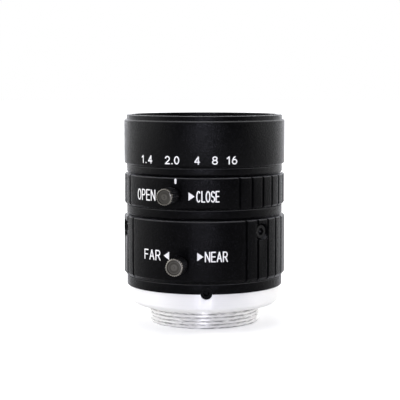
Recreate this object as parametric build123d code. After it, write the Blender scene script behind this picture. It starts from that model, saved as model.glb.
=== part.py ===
from build123d import *
from math import cos, radians, sin, sqrt
import os

# Fixed-focus lens with a one-inch threaded nose, in millimetres.
# Z is the lens axis and z = 0 is the end face of the nose. The side with the index marks faces -Y.
# An azimuth is measured from -Y towards +X, in degrees.

# Fits between pieces
fit_clearance = 0.02
running_clearance = 0.05
ring_gap = 0.15
seat_gap = 0.1
cut_overshoot = 1.0

# Threaded nose and flange ring
thread_radius = 12.7
thread_end_chamfer = 0.4
nose_length = 4.4
nose_wall = 1.8
relief_length = 0.6
relief_depth = 0.6
mount_ring_step = 0.6
mount_ring_height = 4.2
flange_chamfer_radial = 1.05
flange_chamfer_height = 0.9
flange_undercut_depth = 0.15
flange_undercut_margin = 0.2
collar_wall = 2.17
spigot_depth = 2.2

# Heights of the outer pieces above the flange ring
collar_height = 2.2
focus_ring_height = 13.9
rear_neck_height = 1.95
iris_ring_height = 7.2
front_neck_height = 1.85
front_barrel_height = 9.9
rim_height = 1.2

# Walls of the grooved rings, and how far the outer pieces stand back from them
focus_ring_wall = 1.805
iris_ring_wall = 1.85
collar_step = 0.625
neck_step = 0.6
iris_ring_step = 0.075
front_barrel_step = 0.05
rim_step = 0.575
filter_wall = 1.0
edge_break = 0.12

# Chamfers of the two grooved rings and of the front barrel
ring_top_chamfer = 0.33
focus_bottom_chamfer_height = 0.75
focus_bottom_chamfer_radial = 0.6
iris_bottom_chamfer = 0.5
barrel_chamfer = 0.3

# Grip grooves
groove_width = 0.6
groove_depth = 0.45
groove_pitch_deg = 10.0
groove_count = 28
focus_groove_start = 30.0
iris_groove_start = 25.0

# Tubes round the focusing drive, from the inside out
rear_cell_space = 2.15
guide_wall = 1.35
lens_tube_wall = 1.35
drive_sleeve_wall = 1.15
rear_floor_space = 0.75
guide_head_gap = 1.0
lens_tube_lift = 2.6
drive_sleeve_top_gap = 0.95
focus_lip_height = 0.8
drive_lip_height = 1.0
focus_retaining_ring_height = 1.0
focus_retaining_ring_wall = 1.1

# Focus travel: the ring turns clockwise stop to stop while the inner barrel climbs
focus_turn_deg = 100.0
focus_travel = 2.5
cam_pin_radius = 0.6
cam_pin_rise = 6.5
cam_pin_count = 3
cam_pin_azimuth = 30.0
cam_pin_head_gap = 0.25

# Guide key between the guide sleeve and the inner barrel
key_azimuth = 210.0
key_width = 2.4
key_length = 5.0
key_rise = 5.7
key_seat_depth = 0.55
key_top_gap = 0.15
key_screw_radius = 0.4
key_screw_head_radius = 0.7
key_screw_head_height = 0.4
key_screw_depth = 1.0
key_screw_spacing = 2.8

# Grub screws of the focus ring
grub_drop = 2.95
grub_azimuths = (44.0, 164.0, 284.0)
grub_radius = 1.43
grub_counterbore_radius = 1.95
grub_counterbore_depth = 0.48
grub_dimple_depth = 0.6
grub_socket_size = 0.75
grub_socket_depth = 0.9

# Set screws of the flange ring
set_screw_azimuths = (1.5, 121.5, 241.5)
set_screw_rise = 0.1
set_screw_radius = 1.3
set_screw_length = 2.55
set_screw_recess = 0.4
set_screw_socket_size = 0.65
set_screw_socket_depth = 0.8

# Thumb screws
lock_shank_radius = 1.0
lock_neck_radius = 1.15
lock_hole_radius = 1.4
lock_hole_depth = 0.5
lock_stand_out = 6.225
lock_head_length = 4.4
lock_teeth = 24
lock_tooth_depth = 0.16
lock_head_chamfer = 0.3
lock_dish_radius = 1.15
lock_dish_depth = 0.25
focus_lock_azimuth = -15.4
focus_lock_rise = 4.45
focus_lock_head_radius = 1.95
focus_lock_tip_gap = 0.2
iris_lock_azimuth = -20.5
iris_lock_rise = 3.3
iris_lock_head_radius = 1.85
iris_lock_tip_gap = 0.15

# Inner barrel beside the diaphragm and the glass
iris_seat_wall = 1.4
front_cell_drop = 4.75
web_height = 1.95
rear_cell_gap = 0.45

# Diaphragm: six blades between a fixed plate and a slotted ring
blade_count = 6
iris_opening_radius = 5.2
iris_turn_open_deg = 24.0
iris_turn_closed_deg = 40.0
blade_swing_deg = 22.0
blade_thickness = 0.15
blade_pitch = 0.22
blade_inner_margin = 0.2
blade_width = 3.4
blade_start_deg = -5.0
blade_end_deg = 126.0
blade_head_end_deg = 32.0
blade_head_margin = 0.95
blade_head_overlap = 0.5
blade_corner_radius = 0.7
blade_pivot_inset = 2.0
blade_pivot_pin_radius = 0.45
blade_cam_inset = 1.9
blade_cam_deg = 27.0
blade_cam_pin_radius = 0.45
blade_pin_length = 0.7
blade_row_azimuth = 10.0
base_plate_height = 1.0
cam_plate_height = 0.8
cam_plate_width = 5.55
cam_rim_wall = 1.0
cam_rim_height = 1.9
cam_slot_points = 13
iris_retaining_height = 0.9
iris_retaining_wall = 2.0
drive_pin_azimuth = 120.0
drive_pin_radius = 0.7
drive_pin_head_recess = 0.5
drive_pin_above_plate = 0.85

# Front glass and its cell
front_cell_wall = 4.0
front_cell_flange_lap = 0.7
front_cell_flange_height = 1.0
front_cell_nose_wall = 2.0
front_cell_nose_height = 1.6
front_cell_floor_width = 1.6
front_cell_depth = 5.55
front_glass_edge = 1.3
front_glass_bulge = 2.0
front_glass_hollow = 0.5
front_spacer_height = 1.2
spacer_wall = 0.8
second_glass_edge = 2.15
second_glass_bulge = 0.9
second_glass_hollow = 1.6
retaining_ring_height = 0.8

# Front baffle ring and filter thread
filter_bore_length = 3.0
front_ring_seat_ledge = 0.35
front_ring_seat_depth = 1.4
front_ring_seat_height = 1.2
front_ring_opening_margin = 0.2
front_ring_steps = 5
front_ring_rim_wall = 0.6
front_ring_drop = 2.2
front_ring_thickness = 0.9

# Rear glass and its cell
rear_cell_wall = 1.85
rear_cell_end_height = 2.6
rear_cell_shoulder_width = 0.95
rear_cell_shoulder_height = 1.2
rear_cell_lip_height = 0.7
rear_cell_lip_width = 1.2
third_glass_edge = 3.2
third_glass_hollow_front = 1.5
third_glass_hollow_rear = 0.8
upper_spacer_height = 2.9
fourth_glass_edge = 4.4
fourth_glass_bulge_front = 1.8
fourth_glass_bulge_rear = 1.2
rear_glass_edge = 3.4
rear_glass_bulge_front = 1.0
rear_glass_bulge_rear = 0.9
rear_retaining_ring_height = 1.2
rear_retaining_recess = 2.14

# Spanner slots of the retaining rings
spanner_slot_width = 0.8
spanner_slot_depth = 0.4

# Heights worked out from the sizes above
joint_z = nose_length + mount_ring_height
collar_top_z = joint_z + collar_height
focus_bottom_z = collar_top_z + ring_gap
focus_top_z = focus_bottom_z + focus_ring_height
neck_bottom_z = focus_top_z + ring_gap
neck_top_z = neck_bottom_z + rear_neck_height
iris_bottom_z = neck_top_z + ring_gap
iris_top_z = iris_bottom_z + iris_ring_height
front_neck_z = iris_top_z + ring_gap
front_barrel_z = front_neck_z + front_neck_height
rim_z = front_barrel_z + front_barrel_height
top_z = rim_z + rim_height
lens_tube_bottom_z = collar_top_z + lens_tube_lift
filter_floor_z = top_z - filter_bore_length
front_ring_ledge_z = filter_floor_z - front_ring_seat_depth
iris_seat_top_z = front_ring_ledge_z - front_cell_drop
web_bottom_z = neck_top_z - web_height
drive_bottom_z = collar_top_z + seat_gap
drive_top_z = focus_top_z - drive_sleeve_top_gap
retaining_bottom_z = drive_bottom_z + drive_lip_height + seat_gap
guide_top_z = web_bottom_z - guide_head_gap
base_plate_top_z = neck_top_z + base_plate_height
blade_bottom_z = base_plate_top_z + seat_gap
blade_stack = (blade_count - 1) * blade_pitch + blade_thickness
cam_plate_z = blade_bottom_z + blade_stack + seat_gap
cam_plate_top_z = cam_plate_z + cam_plate_height
cam_rim_top_z = cam_plate_z + cam_plate_height + cam_rim_height
drive_pin_z = cam_plate_top_z + drive_pin_above_plate
iris_retaining_z = cam_rim_top_z + seat_gap
front_cell_z = iris_retaining_z + iris_retaining_height + seat_gap
front_nose_top_z = iris_seat_top_z + front_cell_flange_height + front_cell_nose_height
front_floor_z = front_nose_top_z - front_cell_depth

# Heights of what is fastened in the tubes and rings
cam_pin_height = collar_top_z + cam_pin_rise
key_height = collar_top_z + key_rise
grub_height = focus_top_z - grub_drop
focus_lock_height = focus_bottom_z + focus_lock_rise
iris_lock_height = iris_bottom_z + iris_lock_rise

# Radii worked out from the thread outwards: the nose, the rear cell and the tubes round it
nose_bore_radius = thread_radius - nose_wall
rear_cell_radius = nose_bore_radius - rear_cell_gap
rear_cell_bore_radius = rear_cell_radius - rear_cell_wall
rear_cell_shoulder_radius = rear_cell_radius + rear_cell_shoulder_width
rear_cell_lip_radius = rear_cell_bore_radius - rear_cell_lip_width
rear_floor_bore_radius = rear_cell_radius + rear_floor_space
guide_bore_radius = rear_cell_radius + rear_cell_space
guide_radius = guide_bore_radius + guide_wall
lens_tube_bore = guide_radius + running_clearance
lens_tube_radius = lens_tube_bore + lens_tube_wall
drive_bore = lens_tube_radius + running_clearance
drive_radius = drive_bore + drive_sleeve_wall
focus_bore = drive_radius + fit_clearance

# Outer radii
focus_ring_radius = focus_bore + focus_ring_wall
collar_radius = focus_ring_radius - collar_step
mount_ring_radius = collar_radius - mount_ring_step
spigot_radius = collar_radius - collar_wall
neck_radius = focus_ring_radius - neck_step
iris_ring_radius = focus_ring_radius - iris_ring_step
front_barrel_radius = focus_ring_radius - front_barrel_step
rim_radius = front_barrel_radius - rim_step
lock_face_radius = focus_ring_radius + lock_stand_out
set_screw_tip_radius = mount_ring_radius - set_screw_recess - set_screw_length

# Radii inside the iris ring, the diaphragm and the front
iris_ring_bore = iris_ring_radius - iris_ring_wall
iris_seat_radius = iris_ring_bore - running_clearance
iris_bore_radius = iris_seat_radius - iris_seat_wall
cam_ring_radius = iris_bore_radius - running_clearance
cam_rim_bore = cam_ring_radius - cam_rim_wall
cam_plate_bore_radius = cam_ring_radius - cam_plate_width
blade_pivot_radius = iris_bore_radius - blade_pivot_inset
blade_cam_radius = iris_bore_radius - blade_cam_inset
blade_inner_radius = iris_opening_radius + blade_inner_margin
blade_outer_radius = blade_inner_radius + blade_width
blade_ratio = blade_swing_deg / (iris_turn_open_deg + iris_turn_closed_deg)
front_cell_bore_radius = iris_bore_radius - front_cell_wall
front_cell_flange_radius = iris_bore_radius + front_cell_flange_lap
front_cell_mouth_radius = front_cell_bore_radius - front_cell_floor_width
filter_bore_radius = rim_radius - filter_wall
front_ring_seat_radius = filter_bore_radius - front_ring_seat_ledge
front_ring_opening_radius = front_cell_bore_radius + front_ring_opening_margin


def turned(*outline):
    """Solid turned about the lens axis from a closed outline of (radius, height) points."""
    section = Plane.XZ * make_face(Polyline(*outline, close=True))
    return revolve(section, axis=Axis.Z)


def tube(inner, outer, low, high):
    """Plain ring between two radii and two heights."""
    return turned((inner, low), (outer, low), (outer, high), (inner, high))


def radial_plane(azimuth, height):
    """Plane on the lens axis whose normal points outwards at an azimuth from the front."""
    angle = radians(azimuth)
    return Plane(
        origin=(0, 0, height),
        x_dir=(cos(angle), sin(angle), 0),
        z_dir=(sin(angle), -cos(angle), 0),
    )


def radial_rod(azimuth, height, radius, inner, outer):
    """Round rod that points outwards, from one distance off the lens axis to another."""
    rod = Pos(0, 0, (inner + outer) / 2) * Cylinder(radius, outer - inner)
    return radial_plane(azimuth, height) * rod


def polar(radius, degrees):
    """Point of the XY plane at an angle from +X."""
    return radius * cos(radians(degrees)), radius * sin(radians(degrees))


def turn_about(point, centre, degrees):
    """A point of the XY plane after a turn about a centre."""
    dx = point[0] - centre[0]
    dy = point[1] - centre[1]
    c = cos(radians(degrees))
    s = sin(radians(degrees))
    return centre[0] + c * dx - s * dy, centre[1] + s * dx + c * dy


def sector(inner, outer, start, end):
    """Flat piece of a ring between two radii and two angles."""
    return make_face(
        [
            CenterArc((0, 0), outer, start, end - start),
            Line(polar(outer, end), polar(inner, end)),
            CenterArc((0, 0), inner, start, end - start),
            Line(polar(inner, start), polar(outer, start)),
        ]
    )


def grooved(ring, radius, low, high, first):
    """Cuts the grip grooves along the whole height of a ring."""
    cutter = Box(groove_width, high - low + 2 * cut_overshoot, 2 * groove_depth)
    grooves = []
    for i in range(groove_count):
        plane = radial_plane(first + i * groove_pitch_deg, (low + high) / 2)
        grooves.append(plane * Pos(0, 0, radius) * cutter)
    return ring - grooves


def slotted(ring, radius, face):
    """Cuts the pair of spanner slots across one face of a retaining ring."""
    cutter = Box(2 * (radius + cut_overshoot), spanner_slot_width, 2 * spanner_slot_depth)
    return ring - Pos(0, 0, face) * cutter


def mount_ring():
    outline = (
        (nose_bore_radius, 0),
        (thread_radius - thread_end_chamfer, 0),
        (thread_radius, thread_end_chamfer),
        (thread_radius, nose_length - relief_length),
        (thread_radius - relief_depth, nose_length - relief_length + relief_depth / 2),
        (thread_radius - relief_depth, nose_length + flange_undercut_depth),
        (thread_radius + flange_undercut_margin, nose_length + flange_undercut_depth),
        (thread_radius + flange_undercut_margin, nose_length),
        (mount_ring_radius - flange_chamfer_radial, nose_length),
        (mount_ring_radius, nose_length + flange_chamfer_height),
        (mount_ring_radius, joint_z),
        (spigot_radius + fit_clearance, joint_z),
        (spigot_radius + fit_clearance, joint_z - spigot_depth),
        (nose_bore_radius, joint_z - spigot_depth),
    )
    screw_holes = set_screw_rods(set_screw_radius + fit_clearance, collar_radius + cut_overshoot)
    return turned(*outline) - screw_holes


def rear_barrel():
    outline = (
        (rear_floor_bore_radius, joint_z - spigot_depth),
        (spigot_radius, joint_z - spigot_depth),
        (spigot_radius, joint_z),
        (collar_radius - edge_break, joint_z),
        (collar_radius, joint_z + edge_break),
        (collar_radius, collar_top_z - edge_break),
        (collar_radius - edge_break, collar_top_z),
        (guide_radius, collar_top_z),
        (guide_radius, guide_top_z),
        (guide_bore_radius, guide_top_z),
        (guide_bore_radius, joint_z),
        (rear_floor_bore_radius, joint_z),
    )
    screw_holes = set_screw_rods(set_screw_radius + fit_clearance, collar_radius + cut_overshoot)
    key_seat = key_block(guide_radius - key_seat_depth, guide_radius + cut_overshoot, fit_clearance)
    return turned(*outline) - screw_holes - key_seat - key_screw_rods(0)


def set_screw_rods(radius, outer):
    """Three radial rods on the joint of the flange ring and the collar."""
    height = joint_z + set_screw_rise
    return [radial_rod(a, height, radius, set_screw_tip_radius, outer) for a in set_screw_azimuths]


def socket_cut(azimuth, height, face, size, depth):
    """Hexagon socket in the outer end of a radial screw."""
    socket = extrude(RegularPolygon(size, 6, major_radius=False), depth)
    return radial_plane(azimuth, height) * Pos(0, 0, face - depth) * socket


def mount_set_screws():
    face = mount_ring_radius - set_screw_recess
    height = joint_z + set_screw_rise
    screws = []
    for azimuth, rod in zip(set_screw_azimuths, set_screw_rods(set_screw_radius, face)):
        screws.append(rod - socket_cut(azimuth, height, face, set_screw_socket_size, set_screw_socket_depth))
    return screws


def key_block(inner, outer, clearance):
    """Block of the guide key's width and length, or its seat with a clearance all round."""
    block = Box(key_width + 2 * clearance, key_length + 2 * clearance, outer - inner)
    return radial_plane(key_azimuth, key_height) * Pos(0, 0, (inner + outer) / 2) * block


def key_screw_rods(clearance):
    """Screws that hold the key on the guide sleeve, with a countersunk head in the key."""
    face = lens_tube_radius - key_top_gap - seat_gap
    head = Cylinder(key_screw_head_radius + clearance, key_screw_head_height)
    shank_length = face - (guide_radius - key_screw_depth)
    shank = Cylinder(key_screw_radius + clearance, shank_length)
    screws = []
    for side in (-1, 1):
        plane = radial_plane(key_azimuth, key_height + side * key_screw_spacing / 2)
        screws.append(
            plane * Pos(0, 0, face - key_screw_head_height / 2) * head
            + plane * Pos(0, 0, face - shank_length / 2) * shank
        )
    return screws


def guide_key():
    face = lens_tube_radius - key_top_gap
    key = key_block(guide_radius - key_seat_depth + fit_clearance, face, 0)
    return key - key_screw_rods(fit_clearance)


def guide_key_screws():
    return key_screw_rods(-fit_clearance)


def focus_retaining_ring():
    inner = guide_radius + fit_clearance
    outer = inner + focus_retaining_ring_wall
    high = retaining_bottom_z + focus_retaining_ring_height
    return slotted(tube(inner, outer, retaining_bottom_z, high), outer, high)


def focus_ring():
    lip_bore = lens_tube_radius + ring_gap
    outline = (
        (focus_bore, focus_bottom_z),
        (focus_ring_radius - focus_bottom_chamfer_radial, focus_bottom_z),
        (focus_ring_radius, focus_bottom_z + focus_bottom_chamfer_height),
        (focus_ring_radius, focus_top_z - ring_top_chamfer),
        (focus_ring_radius - ring_top_chamfer, focus_top_z),
        (lip_bore, focus_top_z),
        (lip_bore, focus_top_z - focus_lip_height),
        (focus_bore, focus_top_z - focus_lip_height),
    )
    ring = turned(*outline)
    outer = focus_ring_radius + cut_overshoot
    counterbore = focus_ring_radius - grub_counterbore_depth
    for azimuth in grub_azimuths:
        ring -= radial_rod(azimuth, grub_height, grub_radius + fit_clearance, drive_bore, outer)
        ring -= radial_rod(azimuth, grub_height, grub_counterbore_radius, counterbore, outer)
    ring -= lock_hole(focus_lock_azimuth, focus_lock_height, focus_ring_radius, drive_bore - cut_overshoot)
    return grooved(ring, focus_ring_radius, focus_bottom_z, focus_top_z, focus_groove_start)


def lock_hole(azimuth, height, surface, inner):
    """Threaded hole of a thumb screw, with a shallow counterbore in the ring's surface."""
    return [
        radial_rod(azimuth, height, lock_shank_radius + running_clearance, inner, surface + cut_overshoot),
        radial_rod(azimuth, height, lock_hole_radius, surface - lock_hole_depth, surface + cut_overshoot),
    ]


def focus_grub_screws():
    face = focus_ring_radius - grub_counterbore_depth
    tip = drive_radius - grub_dimple_depth + fit_clearance
    return [
        radial_rod(a, grub_height, grub_radius, tip, face)
        - socket_cut(a, grub_height, face, grub_socket_size, grub_socket_depth)
        for a in grub_azimuths
    ]


def cam_slot(azimuth):
    """Helical slot that lifts one cam pin as the sleeve turns under it."""
    slot_radius = cam_pin_radius + running_clearance
    middle = (drive_bore + drive_radius) / 2
    depth = drive_sleeve_wall + cut_overshoot
    pitch = focus_travel * 360 / focus_turn_deg
    helix = Helix(pitch, focus_travel, middle, lefthand=True)
    section = Plane(origin=helix @ 0, x_dir=(1, 0, 0), z_dir=helix % 0) * Rectangle(depth, 2 * slot_radius)
    run = Pos(0, 0, cam_pin_height) * Rot(0, 0, azimuth - 90) * sweep(section, path=helix, is_frenet=True)
    start = radial_rod(azimuth, cam_pin_height, slot_radius, middle - depth / 2, middle + depth / 2)
    end = radial_rod(
        azimuth - focus_turn_deg,
        cam_pin_height + focus_travel,
        slot_radius,
        middle - depth / 2,
        middle + depth / 2,
    )
    return [run, start, end]


def focus_drive_sleeve():
    lip_bore = guide_radius + running_clearance
    outer = drive_radius + cut_overshoot
    outline = (
        (lip_bore, drive_bottom_z),
        (drive_radius, drive_bottom_z),
        (drive_radius, drive_top_z),
        (drive_bore, drive_top_z),
        (drive_bore, drive_bottom_z + drive_lip_height),
        (lip_bore, drive_bottom_z + drive_lip_height),
    )
    sleeve = turned(*outline)
    for i in range(cam_pin_count):
        sleeve -= cam_slot(cam_pin_azimuth + i * 360 / cam_pin_count)
    dimple = drive_radius - grub_dimple_depth
    for azimuth in grub_azimuths:
        sleeve -= radial_rod(azimuth, grub_height, grub_radius + fit_clearance, dimple, outer)
    shank = lock_shank_radius + running_clearance
    inner = drive_bore - cut_overshoot
    return sleeve - radial_rod(focus_lock_azimuth, focus_lock_height, shank, inner, outer)


def thumb_screw(azimuth, height, head_radius, surface, tip):
    """Knurled screw that points outwards, with a turned dish in the face of its head."""
    neck_end = lock_face_radius - lock_head_length
    neck_start = surface - lock_hole_depth + seat_gap
    half_tooth = 180 / lock_teeth
    knurl = []
    for i in range(lock_teeth):
        knurl.append(polar(head_radius, 2 * i * half_tooth))
        knurl.append(polar(head_radius - lock_tooth_depth, (2 * i + 1) * half_tooth))
    head = Pos(0, 0, neck_end) * extrude(make_face(Polyline(*knurl, close=True)), lock_head_length)
    blank = turned(
        (0, neck_end),
        (head_radius - lock_head_chamfer, neck_end),
        (head_radius, neck_end + lock_head_chamfer),
        (head_radius, lock_face_radius - lock_head_chamfer),
        (head_radius - lock_head_chamfer, lock_face_radius),
        (lock_dish_radius, lock_face_radius),
        (lock_dish_radius - lock_dish_depth, lock_face_radius - lock_dish_depth),
        (0, lock_face_radius - lock_dish_depth),
    )
    shank = turned(
        (0, tip),
        (lock_shank_radius - edge_break, tip),
        (lock_shank_radius, tip + edge_break),
        (lock_shank_radius, neck_start),
        (lock_neck_radius, neck_start),
        (lock_neck_radius, neck_end + lock_head_chamfer),
        (0, neck_end + lock_head_chamfer),
    )
    return radial_plane(azimuth, height) * ((head & blank) + shank)


def focus_lock_screw():
    tip = lens_tube_radius + focus_lock_tip_gap
    return thumb_screw(
        focus_lock_azimuth, focus_lock_height, focus_lock_head_radius, focus_ring_radius, tip
    )


def iris_lock_screw():
    tip = iris_seat_radius + iris_lock_tip_gap
    return thumb_screw(iris_lock_azimuth, iris_lock_height, iris_lock_head_radius, iris_ring_radius, tip)


def lens_barrel():
    cell_bore = rear_cell_radius + fit_clearance
    outline = (
        (lens_tube_radius, lens_tube_bottom_z),
        (lens_tube_radius, neck_bottom_z),
        (neck_radius - edge_break, neck_bottom_z),
        (neck_radius, neck_bottom_z + edge_break),
        (neck_radius, neck_top_z - edge_break),
        (neck_radius - edge_break, neck_top_z),
        (iris_seat_radius, neck_top_z),
        (iris_seat_radius, iris_seat_top_z),
        (iris_bore_radius, iris_seat_top_z),
        (iris_bore_radius, neck_top_z),
        (cell_bore, neck_top_z),
        (cell_bore, web_bottom_z),
        (lens_tube_bore, web_bottom_z),
        (lens_tube_bore, lens_tube_bottom_z),
    )
    barrel = turned(*outline)
    barrel -= [
        radial_rod(
            a,
            cam_pin_height,
            cam_pin_radius + fit_clearance,
            lens_tube_bore - cut_overshoot,
            lens_tube_radius + cut_overshoot,
        )
        for a in cam_pin_azimuths()
    ]
    return barrel - key_slot() - drive_pin_slot()


def cam_pin_azimuths():
    return [cam_pin_azimuth + i * 360 / cam_pin_count for i in range(cam_pin_count)]


def key_slot():
    """Slot in the inner barrel, open at its lower end, that slides on the guide key."""
    top = key_height + key_length / 2 + seat_gap
    low = lens_tube_bottom_z - cut_overshoot
    depth = lens_tube_wall + 2 * cut_overshoot
    slot = Box(key_width + 2 * running_clearance, top - low, depth)
    middle = (lens_tube_radius + lens_tube_bore) / 2
    return radial_plane(key_azimuth, (top + low) / 2) * Pos(0, 0, middle) * slot


def drive_pin_slot():
    """Slot round part of the inner barrel, whose ends stop the iris ring."""
    radius = drive_pin_radius + running_clearance
    inner = iris_bore_radius - cut_overshoot
    outer = iris_seat_radius + cut_overshoot
    start = drive_pin_azimuth - 90 - iris_turn_open_deg
    end = drive_pin_azimuth - 90 + iris_turn_closed_deg
    run = Pos(0, 0, drive_pin_z - radius) * extrude(sector(inner, outer, start, end), 2 * radius)
    return [
        run,
        radial_rod(start + 90, drive_pin_z, radius, inner, outer),
        radial_rod(end + 90, drive_pin_z, radius, inner, outer),
    ]


def cam_pins():
    tip = drive_radius - cam_pin_head_gap
    inner = lens_tube_bore + seat_gap
    return [radial_rod(a, cam_pin_height, cam_pin_radius, inner, tip) for a in cam_pin_azimuths()]


def iris_ring():
    outline = (
        (iris_ring_bore, iris_bottom_z),
        (iris_ring_radius - iris_bottom_chamfer, iris_bottom_z),
        (iris_ring_radius, iris_bottom_z + iris_bottom_chamfer),
        (iris_ring_radius, iris_top_z - ring_top_chamfer),
        (iris_ring_radius - ring_top_chamfer, iris_top_z),
        (iris_ring_bore, iris_top_z),
    )
    ring = turned(*outline)
    ring -= lock_hole(iris_lock_azimuth, iris_lock_height, iris_ring_radius, iris_ring_bore - cut_overshoot)
    ring -= radial_rod(
        drive_pin_azimuth,
        drive_pin_z,
        drive_pin_radius + fit_clearance,
        iris_ring_bore - cut_overshoot,
        iris_ring_radius + cut_overshoot,
    )
    return grooved(ring, iris_ring_radius, iris_bottom_z, iris_top_z, iris_groove_start)


def iris_drive_pin():
    head = iris_ring_radius - drive_pin_head_recess
    return radial_rod(drive_pin_azimuth, drive_pin_z, drive_pin_radius, cam_rim_bore, head)


def iris_base_plate():
    plate = tube(iris_opening_radius, iris_bore_radius - fit_clearance, neck_top_z, base_plate_top_z)
    hole = Cylinder(blade_pivot_pin_radius + running_clearance, 2 * base_plate_height)
    x, y = polar(blade_pivot_radius, 0)
    return plate - [blade_turn(i) * Pos(x, y, base_plate_top_z) * hole for i in range(blade_count)]


def blade_turn(i):
    """Places what is drawn for the blade on +X at its own place round the axis."""
    return Rot(0, 0, blade_row_azimuth + i * 360 / blade_count)


def cam_path(turn):
    """Place of the cam pin of the blade on +X, seen from the slotted ring, at a turn of the iris ring."""
    pivot = polar(blade_pivot_radius, 0)
    swing = blade_ratio * (turn + iris_turn_open_deg)
    pin = turn_about(polar(blade_cam_radius, blade_cam_deg), pivot, swing)
    return turn_about(pin, (0, 0), -turn)


def cam_slot_face():
    """Slot of constant width along the path of the cam pin."""
    half = blade_cam_pin_radius + running_clearance
    whole = iris_turn_open_deg + iris_turn_closed_deg
    sides = ([], [])
    for i in range(cam_slot_points):
        turn = whole * i / (cam_slot_points - 1) - iris_turn_open_deg
        x, y = cam_path(turn)
        before = cam_path(turn - 0.01)
        after = cam_path(turn + 0.01)
        step = (after[0] - before[0], after[1] - before[1])
        length = sqrt(step[0] ** 2 + step[1] ** 2)
        along = (step[0] / length, step[1] / length)
        sides[0].append((x - half * along[1], y + half * along[0]))
        sides[1].append((x + half * along[1], y - half * along[0]))
        if i == 0:
            start_tip = (x - half * along[0], y - half * along[1])
        end_tip = (x + half * along[0], y + half * along[1])
    return make_face(
        [
            Spline(*sides[0]),
            ThreePointArc(sides[0][-1], end_tip, sides[1][-1]),
            Spline(*sides[1]),
            ThreePointArc(sides[0][0], start_tip, sides[1][0]),
        ]
    )


def iris_cam_ring():
    outline = (
        (cam_plate_bore_radius, cam_plate_z),
        (cam_ring_radius, cam_plate_z),
        (cam_ring_radius, cam_rim_top_z),
        (cam_rim_bore, cam_rim_top_z),
        (cam_rim_bore, cam_plate_top_z),
        (cam_plate_bore_radius, cam_plate_top_z),
    )
    slot = extrude(cam_slot_face(), cam_plate_height + 1.5 * cut_overshoot)
    slot = Pos(0, 0, cam_plate_z - cut_overshoot) * slot
    ring = turned(*outline) - [blade_turn(i) * slot for i in range(blade_count)]
    return ring - radial_rod(
        drive_pin_azimuth,
        drive_pin_z,
        drive_pin_radius + fit_clearance,
        cam_rim_bore - cut_overshoot,
        cam_ring_radius + cut_overshoot,
    )


def iris_blade(i):
    """One blade with its pivot pin below and its cam pin above, at the rest setting of the ring."""
    head_radius = blade_pivot_radius + blade_head_margin
    crescent = sector(blade_inner_radius, blade_outer_radius, blade_start_deg, blade_end_deg)
    head = sector(blade_outer_radius - blade_head_overlap, head_radius, blade_start_deg, blade_head_end_deg)
    sheet = fillet((crescent + head).vertices(), blade_corner_radius)
    low = blade_bottom_z + i * blade_pitch
    blade = Pos(0, 0, low) * extrude(sheet, blade_thickness)
    pin_bottom = base_plate_top_z - blade_pin_length
    pin_top = cam_plate_top_z - seat_gap
    pivot_length = low + blade_thickness / 2 - pin_bottom
    cam_length = pin_top - low - blade_thickness / 2
    pivot = Pos(blade_pivot_radius, 0, pin_bottom + pivot_length / 2)
    cam_x, cam_y = polar(blade_cam_radius, blade_cam_deg)
    cam = Pos(cam_x, cam_y, pin_top - cam_length / 2)
    blade += pivot * Cylinder(blade_pivot_pin_radius, pivot_length)
    blade += cam * Cylinder(blade_cam_pin_radius, cam_length)
    swing = blade_ratio * iris_turn_open_deg
    at_pivot = Pos(blade_pivot_radius, 0, 0) * Rot(0, 0, swing) * Pos(-blade_pivot_radius, 0, 0)
    return blade_turn(i) * at_pivot * blade


def iris_retaining_ring():
    outer = iris_bore_radius - fit_clearance
    high = iris_retaining_z + iris_retaining_height
    return slotted(tube(outer - iris_retaining_wall, outer, iris_retaining_z, high), outer, high)


def rise(bulge, radius, at):
    """Height of a spherical glass surface above its own edge, at a distance from the axis."""
    if bulge == 0:
        return 0
    ball = (radius**2 + bulge**2) / (2 * abs(bulge))
    height = sqrt(ball**2 - at**2) - (ball - abs(bulge))
    return height if bulge > 0 else -height


def glass(radius, low, edge, front_bulge, rear_bulge):
    """Lens element with spherical faces. A bulge is positive outwards and negative for a hollow."""
    high = low + edge
    half = radius / 2
    section = make_face(
        [
            Line((0, low - rear_bulge), (0, high + front_bulge)),
            ThreePointArc(
                (0, high + front_bulge), (half, high + rise(front_bulge, radius, half)), (radius, high)
            ),
            Line((radius, high), (radius, low)),
            ThreePointArc(
                (radius, low), (half, low - rise(rear_bulge, radius, half)), (0, low - rear_bulge)
            ),
        ]
    )
    return revolve(Plane.XZ * section, axis=Axis.Z)


# Stack of the front glass, from the floor of its cell upwards
front_glass_radius = front_cell_bore_radius - fit_clearance
second_glass_z = front_floor_z + fit_clearance
second_spacer_bore = front_glass_radius - spacer_wall
front_spacer_z = (
    second_glass_z + second_glass_edge + rise(second_glass_bulge, front_glass_radius, second_spacer_bore)
)
front_glass_z = front_spacer_z + front_spacer_height + fit_clearance
front_retaining_z = (
    front_glass_z
    + front_glass_edge
    + rise(front_glass_bulge, front_glass_radius, second_spacer_bore)
    + fit_clearance
)

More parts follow.
